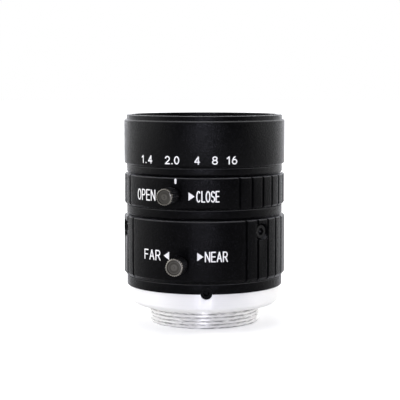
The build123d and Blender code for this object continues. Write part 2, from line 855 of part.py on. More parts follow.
# Stack of the rear glass. The lower spacer fills what is left between the glasses above and below it
rear_glass_radius = rear_cell_bore_radius - fit_clearance
rear_spacer_bore = rear_glass_radius - spacer_wall
third_glass_z = neck_top_z - rear_cell_lip_height - fit_clearance - third_glass_edge
upper_spacer_z = third_glass_z - fit_clearance - upper_spacer_height
fourth_glass_z = (
    upper_spacer_z
    - fit_clearance
    - rise(fourth_glass_bulge_front, rear_glass_radius, rear_spacer_bore)
    - fourth_glass_edge
)
rear_retaining_z = rear_cell_end_height + rear_retaining_recess
rear_glass_z = (
    rear_retaining_z
    + rear_retaining_ring_height
    + fit_clearance
    + rise(rear_glass_bulge_rear, rear_glass_radius, rear_spacer_bore)
)
lower_spacer_z = (
    rear_glass_z
    + rear_glass_edge
    + rise(rear_glass_bulge_front, rear_glass_radius, rear_spacer_bore)
    + fit_clearance
)
lower_spacer_height = (
    fourth_glass_z
    - rise(fourth_glass_bulge_rear, rear_glass_radius, rear_spacer_bore)
    - fit_clearance
    - lower_spacer_z
)


def front_cell():
    spigot = iris_bore_radius - fit_clearance
    flange_top_z = iris_seat_top_z + front_cell_flange_height
    nose_radius = front_cell_bore_radius + front_cell_nose_wall
    return turned(
        (front_cell_mouth_radius, front_cell_z),
        (spigot, front_cell_z),
        (spigot, iris_seat_top_z),
        (front_cell_flange_radius, iris_seat_top_z),
        (front_cell_flange_radius, flange_top_z),
        (nose_radius, flange_top_z),
        (nose_radius, front_nose_top_z),
        (front_cell_bore_radius, front_nose_top_z),
        (front_cell_bore_radius, front_floor_z),
        (front_cell_mouth_radius, front_floor_z),
    )


def second_element():
    return glass(
        front_glass_radius,
        second_glass_z,
        second_glass_edge,
        second_glass_bulge,
        -second_glass_hollow,
    )


def front_spacer():
    return tube(second_spacer_bore, front_glass_radius, front_spacer_z, front_spacer_z + front_spacer_height)


def front_element():
    return glass(front_glass_radius, front_glass_z, front_glass_edge, front_glass_bulge, -front_glass_hollow)


def front_retaining_ring():
    high = front_retaining_z + retaining_ring_height
    ring = tube(second_spacer_bore, front_glass_radius, front_retaining_z, high)
    return slotted(ring, front_glass_radius, high)


def front_ring():
    """Baffle ring whose steps lead down from the filter thread to the front glass."""
    outer = front_ring_seat_radius - fit_clearance
    seat = front_ring_ledge_z + fit_clearance
    top = seat + front_ring_seat_height
    step_outer = outer - front_ring_rim_wall
    step_run = (step_outer - front_ring_opening_radius) / front_ring_steps
    step_drop = front_ring_drop / front_ring_steps
    outline = [(outer, seat), (outer, top)]
    for i in range(front_ring_steps):
        outline.append((step_outer - i * step_run, top - i * step_drop))
        outline.append((step_outer - i * step_run, top - (i + 1) * step_drop))
    inner_top = top - front_ring_drop
    outline.append((front_ring_opening_radius, inner_top))
    outline.append((front_ring_opening_radius, inner_top - front_ring_thickness))
    outline.append((front_cell_flange_radius, seat))
    return turned(*outline)


def front_barrel():
    return turned(
        (iris_seat_radius + fit_clearance, front_neck_z),
        (neck_radius, front_neck_z),
        (neck_radius, front_barrel_z),
        (front_barrel_radius - barrel_chamfer, front_barrel_z),
        (front_barrel_radius, front_barrel_z + barrel_chamfer),
        (front_barrel_radius, rim_z - barrel_chamfer),
        (front_barrel_radius - barrel_chamfer, rim_z),
        (rim_radius, rim_z),
        (rim_radius, top_z - edge_break),
        (rim_radius - edge_break, top_z),
        (filter_bore_radius + edge_break, top_z),
        (filter_bore_radius, top_z - edge_break),
        (filter_bore_radius, filter_floor_z),
        (front_ring_seat_radius, filter_floor_z),
        (front_ring_seat_radius, front_ring_ledge_z),
        (front_cell_flange_radius + fit_clearance, front_ring_ledge_z),
        (front_cell_flange_radius + fit_clearance, iris_seat_top_z + fit_clearance),
        (iris_seat_radius + fit_clearance, iris_seat_top_z + fit_clearance),
    )


def rear_cell():
    bottom_of_web = web_bottom_z
    return turned(
        (rear_cell_bore_radius, rear_cell_end_height),
        (rear_cell_radius - edge_break, rear_cell_end_height),
        (rear_cell_radius, rear_cell_end_height + edge_break),
        (rear_cell_radius, bottom_of_web - rear_cell_shoulder_height),
        (rear_cell_shoulder_radius, bottom_of_web - rear_cell_shoulder_height),
        (rear_cell_shoulder_radius, bottom_of_web),
        (rear_cell_radius, bottom_of_web),
        (rear_cell_radius, neck_top_z),
        (rear_cell_lip_radius, neck_top_z),
        (rear_cell_lip_radius, neck_top_z - rear_cell_lip_height),
        (rear_cell_bore_radius, neck_top_z - rear_cell_lip_height),
    )


def third_element():
    return glass(
        rear_glass_radius,
        third_glass_z,
        third_glass_edge,
        -third_glass_hollow_front,
        -third_glass_hollow_rear,
    )


def upper_spacer():
    return tube(rear_spacer_bore, rear_glass_radius, upper_spacer_z, upper_spacer_z + upper_spacer_height)


def fourth_element():
    return glass(
        rear_glass_radius,
        fourth_glass_z,
        fourth_glass_edge,
        fourth_glass_bulge_front,
        fourth_glass_bulge_rear,
    )


def lower_spacer():
    return tube(rear_spacer_bore, rear_glass_radius, lower_spacer_z, lower_spacer_z + lower_spacer_height)


def rear_element():
    return glass(
        rear_glass_radius, rear_glass_z, rear_glass_edge, rear_glass_bulge_front, rear_glass_bulge_rear
    )


def rear_retaining_ring():
    high = rear_retaining_z + rear_retaining_ring_height
    ring = tube(rear_spacer_bore, rear_glass_radius, rear_retaining_z, high)
    return slotted(ring, rear_glass_radius, rear_retaining_z)


pieces = {
    "mount_ring": mount_ring(),
    "mount_set_screws": mount_set_screws(),
    "rear_barrel": rear_barrel(),
    "guide_key": guide_key(),
    "guide_key_screws": guide_key_screws(),
    "focus_retaining_ring": focus_retaining_ring(),
    "focus_ring": focus_ring(),
    "focus_grub_screws": focus_grub_screws(),
    "focus_drive_sleeve": focus_drive_sleeve(),
    "focus_lock_screw": focus_lock_screw(),
    "lens_barrel": lens_barrel(),
    "cam_pins": cam_pins(),
    "iris_ring": iris_ring(),
    "iris_drive_pin": iris_drive_pin(),
    "iris_cam_ring": iris_cam_ring(),
    "iris_lock_screw": iris_lock_screw(),
    "iris_base_plate": iris_base_plate(),
    "iris_retaining_ring": iris_retaining_ring(),
    "front_cell": front_cell(),
    "second_element": second_element(),
    "front_spacer": front_spacer(),
    "front_element": front_element(),
    "front_retaining_ring": front_retaining_ring(),
    "front_ring": front_ring(),
    "front_barrel": front_barrel(),
    "rear_cell": rear_cell(),
    "third_element": third_element(),
    "upper_spacer": upper_spacer(),
    "fourth_element": fourth_element(),
    "lower_spacer": lower_spacer(),
    "rear_element": rear_element(),
    "rear_retaining_ring": rear_retaining_ring(),
}
for number in range(blade_count):
    pieces[f"iris_blade_{number + 1}"] = iris_blade(number)

os.makedirs("parts", exist_ok=True)
for name, piece in pieces.items():
    solids = ShapeList(piece).solids() if isinstance(piece, list) else piece.solids()
    export_step(Compound(children=list(solids)), f"parts/{name}.step")
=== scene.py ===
import math

import bmesh
import bpy
from mathutils import Matrix, Vector


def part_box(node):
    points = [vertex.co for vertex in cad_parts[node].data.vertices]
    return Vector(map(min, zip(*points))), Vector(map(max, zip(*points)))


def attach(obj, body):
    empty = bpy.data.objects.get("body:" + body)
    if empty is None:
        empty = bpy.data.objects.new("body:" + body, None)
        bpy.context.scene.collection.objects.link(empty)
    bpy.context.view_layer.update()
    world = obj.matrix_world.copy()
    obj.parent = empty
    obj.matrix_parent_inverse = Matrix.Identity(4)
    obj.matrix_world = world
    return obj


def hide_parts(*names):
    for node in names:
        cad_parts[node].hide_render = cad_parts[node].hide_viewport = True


bl_info = {
    "name": "Machine vision lens",
    "version": (1, 0, 0),
    "blender": (4, 5, 0),
    "location": "View3D > Sidebar > Lens",
    "description": "Fine pieces, finishes, legends and studio for a lens with a focus ring and an iris ring",
    "category": "Object",
}

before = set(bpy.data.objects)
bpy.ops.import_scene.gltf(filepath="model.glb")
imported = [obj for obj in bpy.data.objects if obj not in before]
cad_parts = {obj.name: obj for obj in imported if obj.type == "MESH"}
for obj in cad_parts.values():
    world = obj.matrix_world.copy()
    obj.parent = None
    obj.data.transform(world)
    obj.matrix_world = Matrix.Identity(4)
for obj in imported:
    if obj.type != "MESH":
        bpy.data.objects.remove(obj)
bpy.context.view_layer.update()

MM = 0.001
NEARLY = 1e-7
MERGE = 1e-6
FINE_STEPS = 144
NOSE = 4.4 * MM
RING_SURFACES = {"inner_barrel": 18.325 * MM, "iris_ring": 18.3 * MM, "focus_ring": 18.375 * MM}
FOCUS_LOCK = (-15.4, 15.4 * MM)
IRIS_LOCK = (-20.5, 30.4 * MM)
SCREW_FACE = 24.6 * MM
GRUB_AZIMUTHS = (44.0, 164.0, 284.0)
GRUB_HEIGHT = 21.9 * MM
DRIVE_PIN = (120.0, 31.05 * MM)
IRIS_TURN = (-24, 40)
SET_AZIMUTHS = (1.5, 121.5, 241.5)
SET_HEIGHT = 8.7 * MM
KEY_AZIMUTH = 210.0
KEY_HEIGHT = 16.5 * MM
PAINT_LIFT = 0.2


def amount(name, description, value, **settings):
    """A number property."""
    return bpy.props.FloatProperty(name=name, description=description, default=value, **settings)


def length(name, description, millimetres):
    """A size property, given in millimetres and kept in metres."""
    return amount(name, description, millimetres * MM, unit="LENGTH", precision=5)


def count(name, description, value, low, high):
    """A whole number property."""
    return bpy.props.IntProperty(name=name, description=description, default=value, min=low, max=high)


def colour(name, description, value):
    """A colour property."""
    return bpy.props.FloatVectorProperty(
        name=name, description=description, default=value, subtype="COLOR", size=3, min=0.0, max=1.0
    )


class LensSizes(bpy.types.PropertyGroup):
    steps: count("Round steps", "Flat steps round each turned piece", 252, 36, 720)
    edge_round: length("Edge rounding", "Width of the fine rounding on machined edges", 0.035)
    groove_count: count("Grip grooves", "Number of grooves on each ring", 28, 1, 36)
    groove_width: length("Groove width", "Width of a grip groove", 0.6)
    groove_depth: length("Groove depth", "Depth of a grip groove", 0.45)
    thread_pitch: length("Thread pitch", "Pitch of the mounting thread, 32 turns to the inch", 0.79375)
    thread_depth: length("Thread depth", "Depth of the mounting thread", 0.44)
    filter_pitch: length("Filter thread pitch", "Pitch of the thread inside the rim", 0.5)
    filter_depth: length("Filter thread depth", "Depth of the thread inside the rim", 0.26)
    screw_teeth: count("Screw teeth", "Knurl teeth of a thumb screw", 24, 6, 60)
    tooth_depth: length("Tooth depth", "Depth of a knurl tooth", 0.17)
    paint: length("Paint thickness", "Thickness of the legends", 0.03)
    number_height: length("Number height", "Height of the aperture numbers", 1.82)
    iris_word_height: length("Iris word height", "Height of the words on the iris ring", 2.52)
    focus_word_height: length("Focus word height", "Height of the words on the focus ring", 2.33)
    stroke: length("Stroke width", "Width of the strokes of the legends", 0.27)


class LensColours(bpy.types.PropertyGroup):
    anodised: colour("Anodised body", "Matt black anodised aluminium", (0.0024, 0.0024, 0.0028))
    # This bevel colour is a painted highlight, laid only on the bevels that face up, where the top light
    # falls.
    bevel: colour("Bevels", "Paler anodising on the machined bevels", (0.065, 0.065, 0.064))
    inner_black: colour("Inner black", "Dull black inside the barrel", (0.010, 0.010, 0.011))
    aluminium: colour("Aluminium", "Bare turned aluminium", (0.96, 0.95, 0.925))
    screw: colour("Thumb screws", "Plain steel of the thumb screws", (0.185, 0.175, 0.155))
    dark_screw: colour("Dark screws", "Black oxide on the small screws", (0.022, 0.022, 0.024))
    pin: colour("Steel", "Ground steel of the pins and the key", (0.56, 0.55, 0.54))
    blade: colour("Blades", "Dark spring steel of the diaphragm", (0.045, 0.046, 0.05))
    brass: colour("Brass", "Turned brass of the focusing drive", (0.72, 0.50, 0.22))
    paint: colour("Legends", "White paint in the legends", (0.96, 0.95, 0.93))
    coating: colour("Coating", "Reflection of the coated glass", (0.42, 0.40, 0.62))
    floor: colour("Floor", "Pale floor under the lens", (0.92, 0.92, 0.92))


class LensStudio(bpy.types.PropertyGroup):
    camera_distance: length("Camera distance", "From the lens axis to the camera", 295.0)
    camera_height: length("Camera height", "Above the floor", 55.2)
    camera_pitch: amount("Camera pitch", "Tilt down from the level", 0.093, subtype="ANGLE")
    focal_length: amount("Focal length", "Of the camera, on a 36 mm frame", 115.98, unit="CAMERA")
    camera_shift: amount("Camera shift", "Sideways shift of the frame", -0.011)
    left_power: amount("Left light", "Soft light on the left", 0.7, unit="POWER")
    right_power: amount("Right light", "Soft light on the right", 0.82, unit="POWER")
    front_power: amount("Front light", "Narrow cool light above the camera", 1.2, unit="POWER")
    top_power: amount("Top light", "Soft light overhead", 1.1, unit="POWER")


def deselect():
    """Leaves edit mode and selects nothing."""
    if bpy.context.object and bpy.context.object.mode != "OBJECT":
        bpy.ops.object.mode_set(mode="OBJECT")
    bpy.ops.object.select_all(action="DESELECT")


def pick(piece):
    """Makes one piece the only one selected."""
    deselect()
    piece.select_set(True)
    bpy.context.view_layer.objects.active = piece


def settle(piece, **transform):
    """Sets a piece's place, turn and scale, and puts them into its mesh."""
    for key, value in transform.items():
        setattr(piece, key, value)
    pick(piece)
    bpy.ops.object.transform_apply(location=True, rotation=True, scale=True)
    return piece


def added(name):
    """Names the primitive that has just been added."""
    piece = bpy.context.object
    piece.name = piece.data.name = name
    return piece


def duplicate(piece):
    """A copy of a piece with a mesh of its own."""
    copy = piece.copy()
    copy.data = piece.data.copy()
    bpy.context.scene.collection.objects.link(copy)
    return copy


def circle(name, sides, radius, height=0.0, fill="NOTHING"):
    """A circle round the axis, open or filled."""
    deselect()
    bpy.ops.mesh.primitive_circle_add(vertices=sides, radius=radius, fill_type=fill, location=(0, 0, height))
    return settle(added(name))


def block(name, size, location):
    """A box of a size, centred on a place."""
    deselect()
    bpy.ops.mesh.primitive_cube_add(size=1)
    return settle(added(name), scale=size, location=location)


def edit_all():
    """Enters edit mode with the whole mesh selected."""
    bpy.ops.object.mode_set(mode="EDIT")
    bpy.ops.mesh.select_all(action="SELECT")


def select_points(test):
    """Selects the points of the mesh in edit mode that pass a test of their place."""
    mesh = bmesh.from_edit_mesh(bpy.context.object.data)
    bpy.ops.mesh.select_all(action="DESELECT")
    for point in mesh.verts:
        point.select_set(test(point.co))
    mesh.select_flush(True)
    bmesh.update_edit_mesh(bpy.context.object.data)


def draw_up(height):
    """Extrudes what is selected upwards."""
    bpy.ops.mesh.extrude_region_move(TRANSFORM_OT_translate={"value": (0, 0, height)})


def widen(share):
    """Scales what is selected away from the axis."""
    bpy.ops.transform.resize(value=(share, share, 1), center_override=(0, 0, 0))


def extrude_loop(start, outline):
    """Extrudes the selected loop from point to point of an outline of (radius, height)."""
    radius, height = start
    for next_radius, next_height in outline:
        draw_up(next_height - height)
        if next_radius != radius:
            widen(next_radius / radius)
        radius, height = next_radius, next_height


def close_up():
    """Merges doubles and points all faces outwards, then leaves edit mode."""
    bpy.ops.mesh.select_all(action="SELECT")
    bpy.ops.mesh.remove_doubles(threshold=MERGE)
    bpy.ops.mesh.normals_make_consistent(inside=False)
    bpy.ops.object.mode_set(mode="OBJECT")


def turned(name, outline, steps, lower=None):
    """A ring turned from a closed outline of (radius, height), or a solid from two lines to the axis."""
    radius, height = outline[0]
    piece = circle(name, steps, radius, height)
    edit_all()
    extrude_loop(outline[0], outline[1:] + ([] if lower else outline[:1]))
    if lower:
        select_points(lambda co: abs(co.z - height) < NEARLY and abs(co.xy.length - radius) < NEARLY)
        extrude_loop(outline[0], lower)
    close_up()
    return piece


def extent(node):
    """A turned node's outer radius, and its lowest and highest place."""
    low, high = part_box(node)
    return (high.x - low.x) / 2, low.z, high.z


def scaled(*outline):
    """An outline given in millimetres, in metres."""
    return [(radius * MM, height * MM) for radius, height in outline]


def aim_outwards(piece, azimuth, height):
    """Turns a piece made along Z so that it points out of the lens at an azimuth from the front."""
    return settle(piece, rotation_euler=(math.pi / 2, 0, math.radians(azimuth)), location=(0, 0, height))


def shaped(piece, kind, **settings):
    """Adds a modifier to a piece and applies it."""
    modifier = piece.modifiers.new("shape", kind)
    for key, value in settings.items():
        setattr(modifier, key, value)
    pick(piece)
    bpy.ops.object.modifier_apply(modifier=modifier.name)
    return piece


def cut(piece, cutter, operation="DIFFERENCE"):
    """Cuts one mesh with another and removes the cutter."""
    shaped(piece, "BOOLEAN", operation=operation, solver="EXACT", object=cutter)
    bpy.data.objects.remove(cutter, do_unlink=True)
    return piece


def drill(piece, azimuth, height, radius, inner, outer, sides=48):
    """Drills a round hole towards the axis, from one distance off it to another."""
    deselect()
    bpy.ops.mesh.primitive_cylinder_add(vertices=sides, radius=radius, depth=outer - inner)
    cutter = settle(added("cutter"), location=(0, 0, (inner + outer) / 2))
    cut(piece, aim_outwards(cutter, azimuth, height))


def mill(piece, azimuth, height, width, tall, inner, outer):
    """Cuts a square pocket towards the axis, from one distance off it to another."""
    cutter = block("cutter", (width, tall, outer - inner), (0, 0, (inner + outer) / 2))
    cut(piece, aim_outwards(cutter, azimuth, height))


def round_edges(piece, width):
    """Rounds the machined edges of a piece."""
    settings = {"segments": 2, "limit_method": "ANGLE", "angle_limit": math.radians(40.0)}
    return shaped(piece, "BEVEL", width=width, use_clamp_overlap=False, **settings)


def grooves(sizes, radius, low, high, first):
    """One cutter with a bar for each grip groove of a ring."""
    size = (sizes.groove_width, high - low + 2 * MM, 2 * sizes.groove_depth)
    bars = [block("groove_cutter", size, (0, 0, radius))]
    bars += [duplicate(bars[0]) for _ in range(1, sizes.groove_count)]
    for i, bar in enumerate(bars):
        aim_outwards(bar, first + i * 10.0, (low + high) / 2)
    pick(bars[0])
    for bar in bars:
        bar.select_set(True)
    bpy.ops.object.join()
    return bars[0]


def thread_cutter(root, surface, pitch, width, low, high):
    """A V-shaped helical cutter whose tip runs at the root radius of a right-hand thread."""
    cutter = circle("thread_cutter", 3, 1, fill="NGON")
    inwards = -1 if root < surface else 1
    point = abs(surface - root) / 1.5
    settle(
        cutter,
        matrix_world=Matrix.Translation((root - inwards * point, 0, low))
        @ Matrix(((0, inwards, 0, 0), (0, 0, -1, 0), (1, 0, 0, 0), (0, 0, 0, 1)))
        @ Matrix.Diagonal((width / math.sqrt(3), point, 1, 1)),
    )
    turns = (high - low) / pitch
    steps = int(FINE_STEPS * turns)
    helix = {"axis": "Z", "angle": 2 * math.pi * turns, "screw_offset": high - low, "iterations": 1}
    shaped(cutter, "SCREW", steps=steps, render_steps=steps, **helix)
    edit_all()
    bpy.ops.mesh.fill_holes(sides=4)
    close_up()
    return cutter


def fill(made, values):
    """Sets the sockets of a node: a number or colour on the socket itself, and a pattern by a link."""
    for socket, value in values.items():
        if isinstance(value, bpy.types.NodeSocket):
            made.id_data.links.new(value, made.inputs[socket])
        else:
            made.inputs[socket].default_value = value


def step(tree, kind, values=None, output=None, **settings):
    """Adds a node to a tree, or to a pattern's own tree, and gives the node or one of its outputs."""
    made = tree.id_data.nodes.new(kind)
    for key, value in settings.items():
        setattr(made, key, value)
    fill(made, values or {})
    return made if output is None else made.outputs[output]


def surface(name):
    """A new material, its surface shader and the place on the piece."""
    material = bpy.data.materials.new(name)
    material.use_nodes = True
    tree = material.node_tree
    return material, tree.nodes["Principled BSDF"], step(tree, "ShaderNodeTexCoord", output="Object")


def noise(source, scale, detail=2.0, dimensions="3D"):
    """Noise on the given coordinates."""
    values = {"Scale": scale, "Detail": detail, "W" if dimensions == "1D" else "Vector": source}
    return step(source, "ShaderNodeTexNoise", values, "Fac", noise_dimensions=dimensions)


def spread(source, low, high, start=0.3, end=0.7):
    """Maps a pattern's value to a range."""
    values = {"Value": source, "From Min": start, "From Max": end, "To Min": low, "To Max": high}
    return step(source, "ShaderNodeMapRange", values, "Result")


def joined(operation, first, second):
    """Joins two patterns with a math node."""
    return step(first, "ShaderNodeMath", {0: first, 1: second}, "Value", operation=operation)


def ramp(source, marks):
    """Maps a pattern's value to colours, given at marks from low to high."""
    made = step(source, "ShaderNodeValToRGB", {"Fac": source})
    line = made.color_ramp.elements
    line[0].position, line[1].position = marks[0][0], marks[-1][0]
    for at, tone in marks[1:-1]:
        line.new(at)
    for element, (at, tone) in zip(line, marks):
        element.color = (*tone, 1)
    return made.outputs["Color"]


def shade(source, base, dark, light, start=0.3, end=0.7):
    """Maps a pattern's value to shades of a colour, from one share of it to another."""
    return ramp(source, ((start, tint(base, dark)), (end, tint(base, light))))


def mixed(factor, first, second, blend="MIX"):
    """Mixes a pattern's colour with a second one, a pattern's or a plain one."""
    values = {"Factor": factor, 6: first, 7: second}
    return step(first, "ShaderNodeMix", values, 2, data_type="RGBA", blend_type=blend)


def relief(source, strength, distance):
    """Bumps a surface by a pattern's height."""
    values = {"Height": source, "Strength": strength, "Distance": distance}
    return step(source, "ShaderNodeBump", values, "Normal")


def tint(base, share):
    """A shade of a colour."""
    return tuple(min(1.0, part * share) for part in base)


def parts_of(source):
    """The X, Y and Z parts of a place or a direction."""
    return step(source, "ShaderNodeSeparateXYZ", {"Vector": source}).outputs


def size_of(source):
    """The distance of a place from the origin."""
    return step(source, "ShaderNodeVectorMath", {0: source}, "Value", operation="LENGTH")


def off_axis(source):
    """The distance of a place from the Z axis."""
    apart = parts_of(source)
    values = {"X": apart["X"], "Y": apart["Y"]}
    return size_of(step(source, "ShaderNodeCombineXYZ", values, "Vector"))


def profile_place(source):
    """Distance along a turned profile, so that a pattern on it makes rings round the axis."""
    return joined("ADD", off_axis(source), parts_of(source)["Z"])


def upward_bevel_highlight(place):
    """A mask for the painted highlight on bevels that face up: one on the faces that slope half way up from
    upright to level, and nothing on the others.
    """
    slope = parts_of(step(place, "ShaderNodeNewGeometry", output="Normal"))["Z"]
    return joined("MULTIPLY", spread(slope, 0.0, 1.0, 0.3, 0.55), spread(slope, 1.0, 0.0, 0.85, 0.97))


def blasted_black(place, base, bevel, gloss, level):
    """Sandblasted and anodised aluminium: fine grain, specks partly of grain and partly painted glints, a
    painted highlight on the bevels that face up, and painted shade in recesses.
    """
    sparkle = noise(place, 4300, 1)
    # The specks, up to five times the base colour, are partly grain and partly painted glints.
    body = shade(sparkle, base, 0.5, 5.0, 0.54, 0.8)
    dull = spread(noise(place, 320), gloss - 0.02, gloss + 0.05)
    glint = spread(sparkle, 0.0, -0.19, 0.52, 0.66)
    # Painted shade: less specular reflection and less sheen where the ambient occlusion finds a recess or a
    # gap.
    crevice_occlusion = step(place, "ShaderNodeAmbientOcclusion", {"Distance": 0.7 * MM}, "AO", samples=8)
    open_to_light = spread(crevice_occlusion, 0.0, 1.0, 0.3, 0.75)
    return {
        # Painted highlight: the bevel colour goes on the bevels that face up.
        "Base Color": mixed(upward_bevel_highlight(place), body, (*bevel, 1)),
        "Roughness": joined("ADD", dull, glint),
        "Specular IOR Level": spread(open_to_light, 0.1 * level, level, 0.0, 1.0),
        "Sheen Weight": spread(open_to_light, 0.0, 0.27, 0.0, 1.0),
        "Sheen Roughness": 0.25,
        "Normal": relief(noise(place, 3200), 1.0, 0.0001),
    }


def turned_metal(place, base, gloss, fineness):
    """Lathe-turned metal with fine rings round the axis."""
    rings = noise(profile_place(place), fineness, 3, "1D")
    return {
        "Base Color": shade(rings, base, 0.86, 1.04),
        "Roughness": spread(noise(place, 420, 3), gloss - 0.05, gloss + 0.05),
        "Metallic": 1.0,
        "Normal": relief(rings, 0.25, 0.00003),
    }


def threaded_nose(place, base, end):
    """Pale satin aluminium, with a brighter and streaky cut thread below the end of the nose, whose roots
    get painted shade.
    """
    rings = noise(profile_place(place), 9000, 3, "1D")
    stretched = step(place, "ShaderNodeMapping", {"Scale": (1, 1, 12), "Vector": place}, "Vector")
    # Painted shade: the colour darkens towards the roots of the thread. The streaks are random tone.
    root = spread(off_axis(place), -0.14, 0.04, 12.35 * MM, 12.62 * MM)
    streaks_and_root_shade = joined("ADD", noise(stretched, 700, 3), root)
    nose = spread(parts_of(place)["Z"], 1.0, 0.0, end, end + 0.1 * MM)
    plain = shade(rings, base, 0.97, 1.03)
    return {
        "Base Color": mixed(nose, plain, shade(streaks_and_root_shade, base, 0.5, 1.0, 0.3, 0.48)),
        "Metallic": spread(nose, 0.15, 0.4, 0.0, 1.0),
        "Roughness": spread(nose, 0.5, 0.36, 0.0, 1.0),
        "Tangent": step(place, "ShaderNodeTangent", output="Tangent", direction_type="RADIAL", axis="Z"),
        "Anisotropic": 0.8,
        "Anisotropic Rotation": 0.25,
        "Normal": relief(rings, 0.2, 0.00003),
    }


def screw_steel(place, base, dark, azimuth, height, radius):
    """A thumb screw coloured near black on its knurled sides, with a bare steel face that has painted bands
    of shade and highlight and fine rings round its own axis.
    """
    seat = {"Vector": place, "Location": (0, 0, height), "Rotation": (math.pi / 2, 0, math.radians(azimuth))}
    centred = step(place, "ShaderNodeMapping", seat, "Vector", vector_type="TEXTURE")
    rings = noise(profile_place(centred), 2600, 2, "1D")
    # The knurled sides are coloured near black, and the face keeps the steel colour.
    black = spread(parts_of(centred)["Z"], 1.0, 0.0, SCREW_FACE - 0.55 * MM, SCREW_FACE - 0.3 * MM)
    # Painted light on the face: dark bands as painted shade in its grooves, and a painted highlight on its
    # rim and its centre.
    turns = ((0.0, 1.1), (0.1, 0.5), (0.36, 0.6), (0.44, 0.25), (0.52, 0.62), (0.72, 0.5), (0.78, 0.22))
    turns += ((0.86, 1.0), (1.0, 1.7))
    across = spread(off_axis(centred), 0.0, 1.0, 0.0, radius)
    face = ramp(across, [(at, (share, share, share)) for at, share in turns])
    steel = mixed(1.0, shade(rings, base, 0.6, 1.25), face, blend="MULTIPLY")
    return {
        "Base Color": mixed(black, steel, (*dark, 1)),
        "Roughness": spread(noise(place, 900, 3), 0.36, 0.46),
        "Metallic": 1.0,
        "Normal": relief(rings, 0.5, 0.00004),
    }


def brushed_steel(place, base, gloss, metallic=1.0, level=0.5):
    """Small steel pieces with fine grain."""
    grain = noise(place, 4200, 3)
    return {
        "Base Color": shade(grain, base, 0.8, 1.2),
        "Roughness": spread(noise(place, 600), gloss - 0.05, gloss + 0.05),
        "Metallic": metallic,
        "Specular IOR Level": level,
        "Normal": relief(grain, 0.15, 0.00002),
    }


def coated_glass(place, reflection):
    """Clear glass whose thin coating colours what it reflects, with faint cleaning haze."""
    haze = noise(place, 240, 3)
    return {
        "Base Color": ramp(haze, ((0.3, (0.975, 0.985, 0.98)), (0.7, (1.0, 1.0, 1.0)))),
        "Roughness": spread(haze, 0.0, 0.012),
        "Transmission Weight": 1.0,
        "IOR": 1.52,
        "Specular IOR Level": 0.14,
        "Specular Tint": (*reflection, 1),
    }


def matt_paint(place, base):
    """Pad-printed white paint with a slight unevenness."""
    patch = noise(place, 3000, 3)
    return {
        "Base Color": shade(patch, base, 0.93, 1.03),
        "Roughness": spread(patch, 0.45, 0.6),
        "Normal": relief(patch, 0.1, 0.00001),
    }


def finish_named(name):
    """A finish by name, made the first time that it is asked for."""
    if name in bpy.data.materials:
        return bpy.data.materials[name]
    tones = bpy.context.scene.lens_colours
    make, *values = {
        "anodised_black": (blasted_black, tones.anodised, tones.bevel, 0.3, 0.066),
        "ring_black": (blasted_black, tones.anodised, tones.bevel, 0.3, 0.043),
        "inner_black": (blasted_black, tones.inner_black, tones.inner_black, 0.6, 0.06),
        "turned_aluminium": (threaded_nose, tones.aluminium, NOSE - 0.3 * MM),
        "turned_brass": (turned_metal, tones.brass, 0.3, 7000),
        "ground_steel": (brushed_steel, tones.pin, 0.3),
        "black_oxide": (brushed_steel, tint(tones.dark_screw, 0.12), 0.3, 0.0, 0.14),
        "dull_black_steel": (brushed_steel, tint(tones.dark_screw, 0.08), 0.42, 0.0, 0.06),
        "spring_steel": (brushed_steel, tones.blade, 0.36, 0.9),
        "focus_screw_steel": (screw_steel, tones.screw, tones.dark_screw, *FOCUS_LOCK, 1.95 * MM),
        "iris_screw_steel": (screw_steel, tint(tones.screw, 0.94), tones.dark_screw, *IRIS_LOCK, 1.85 * MM),
        "lens_glass": (coated_glass, tones.coating),
        "legend_white": (matt_paint, tones.paint),
    }[name]
    material, shader, place = surface(name)
    fill(shader, make(place, *values))
    return material


def dress(piece, finish, slot, body, *nodes, edge=0.0, angle=30.0):
    """Rounds and smooths a piece, and gives it its finish, body and the nodes it stands for. The slot
    argument is not used.
    """
    if edge:
        round_edges(piece, edge)
    pick(piece)
    bpy.ops.object.shade_smooth_by_angle(angle=math.radians(angle))
    piece.data.materials.clear()
    piece.data.materials.append(finish_named(finish))
    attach(piece, body)
    if nodes:
        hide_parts(*nodes)
    return piece


def smoothed_node(node, finish, slot, body):
    """A merged and smooth-shaded copy of a CAD node whose shape is right as it is."""
    deselect()
    piece = duplicate(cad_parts[node])
    for key in list(piece.keys()):
        del piece[key]
    piece.parent = None
    piece.matrix_world = Matrix.Identity(4)
    piece.name = piece.data.name = node + "_fine"
    pick(piece)
    edit_all()
    bpy.ops.mesh.remove_doubles(threshold=MERGE)
    bpy.ops.object.mode_set(mode="OBJECT")
    return dress(piece, finish, slot, body, node)


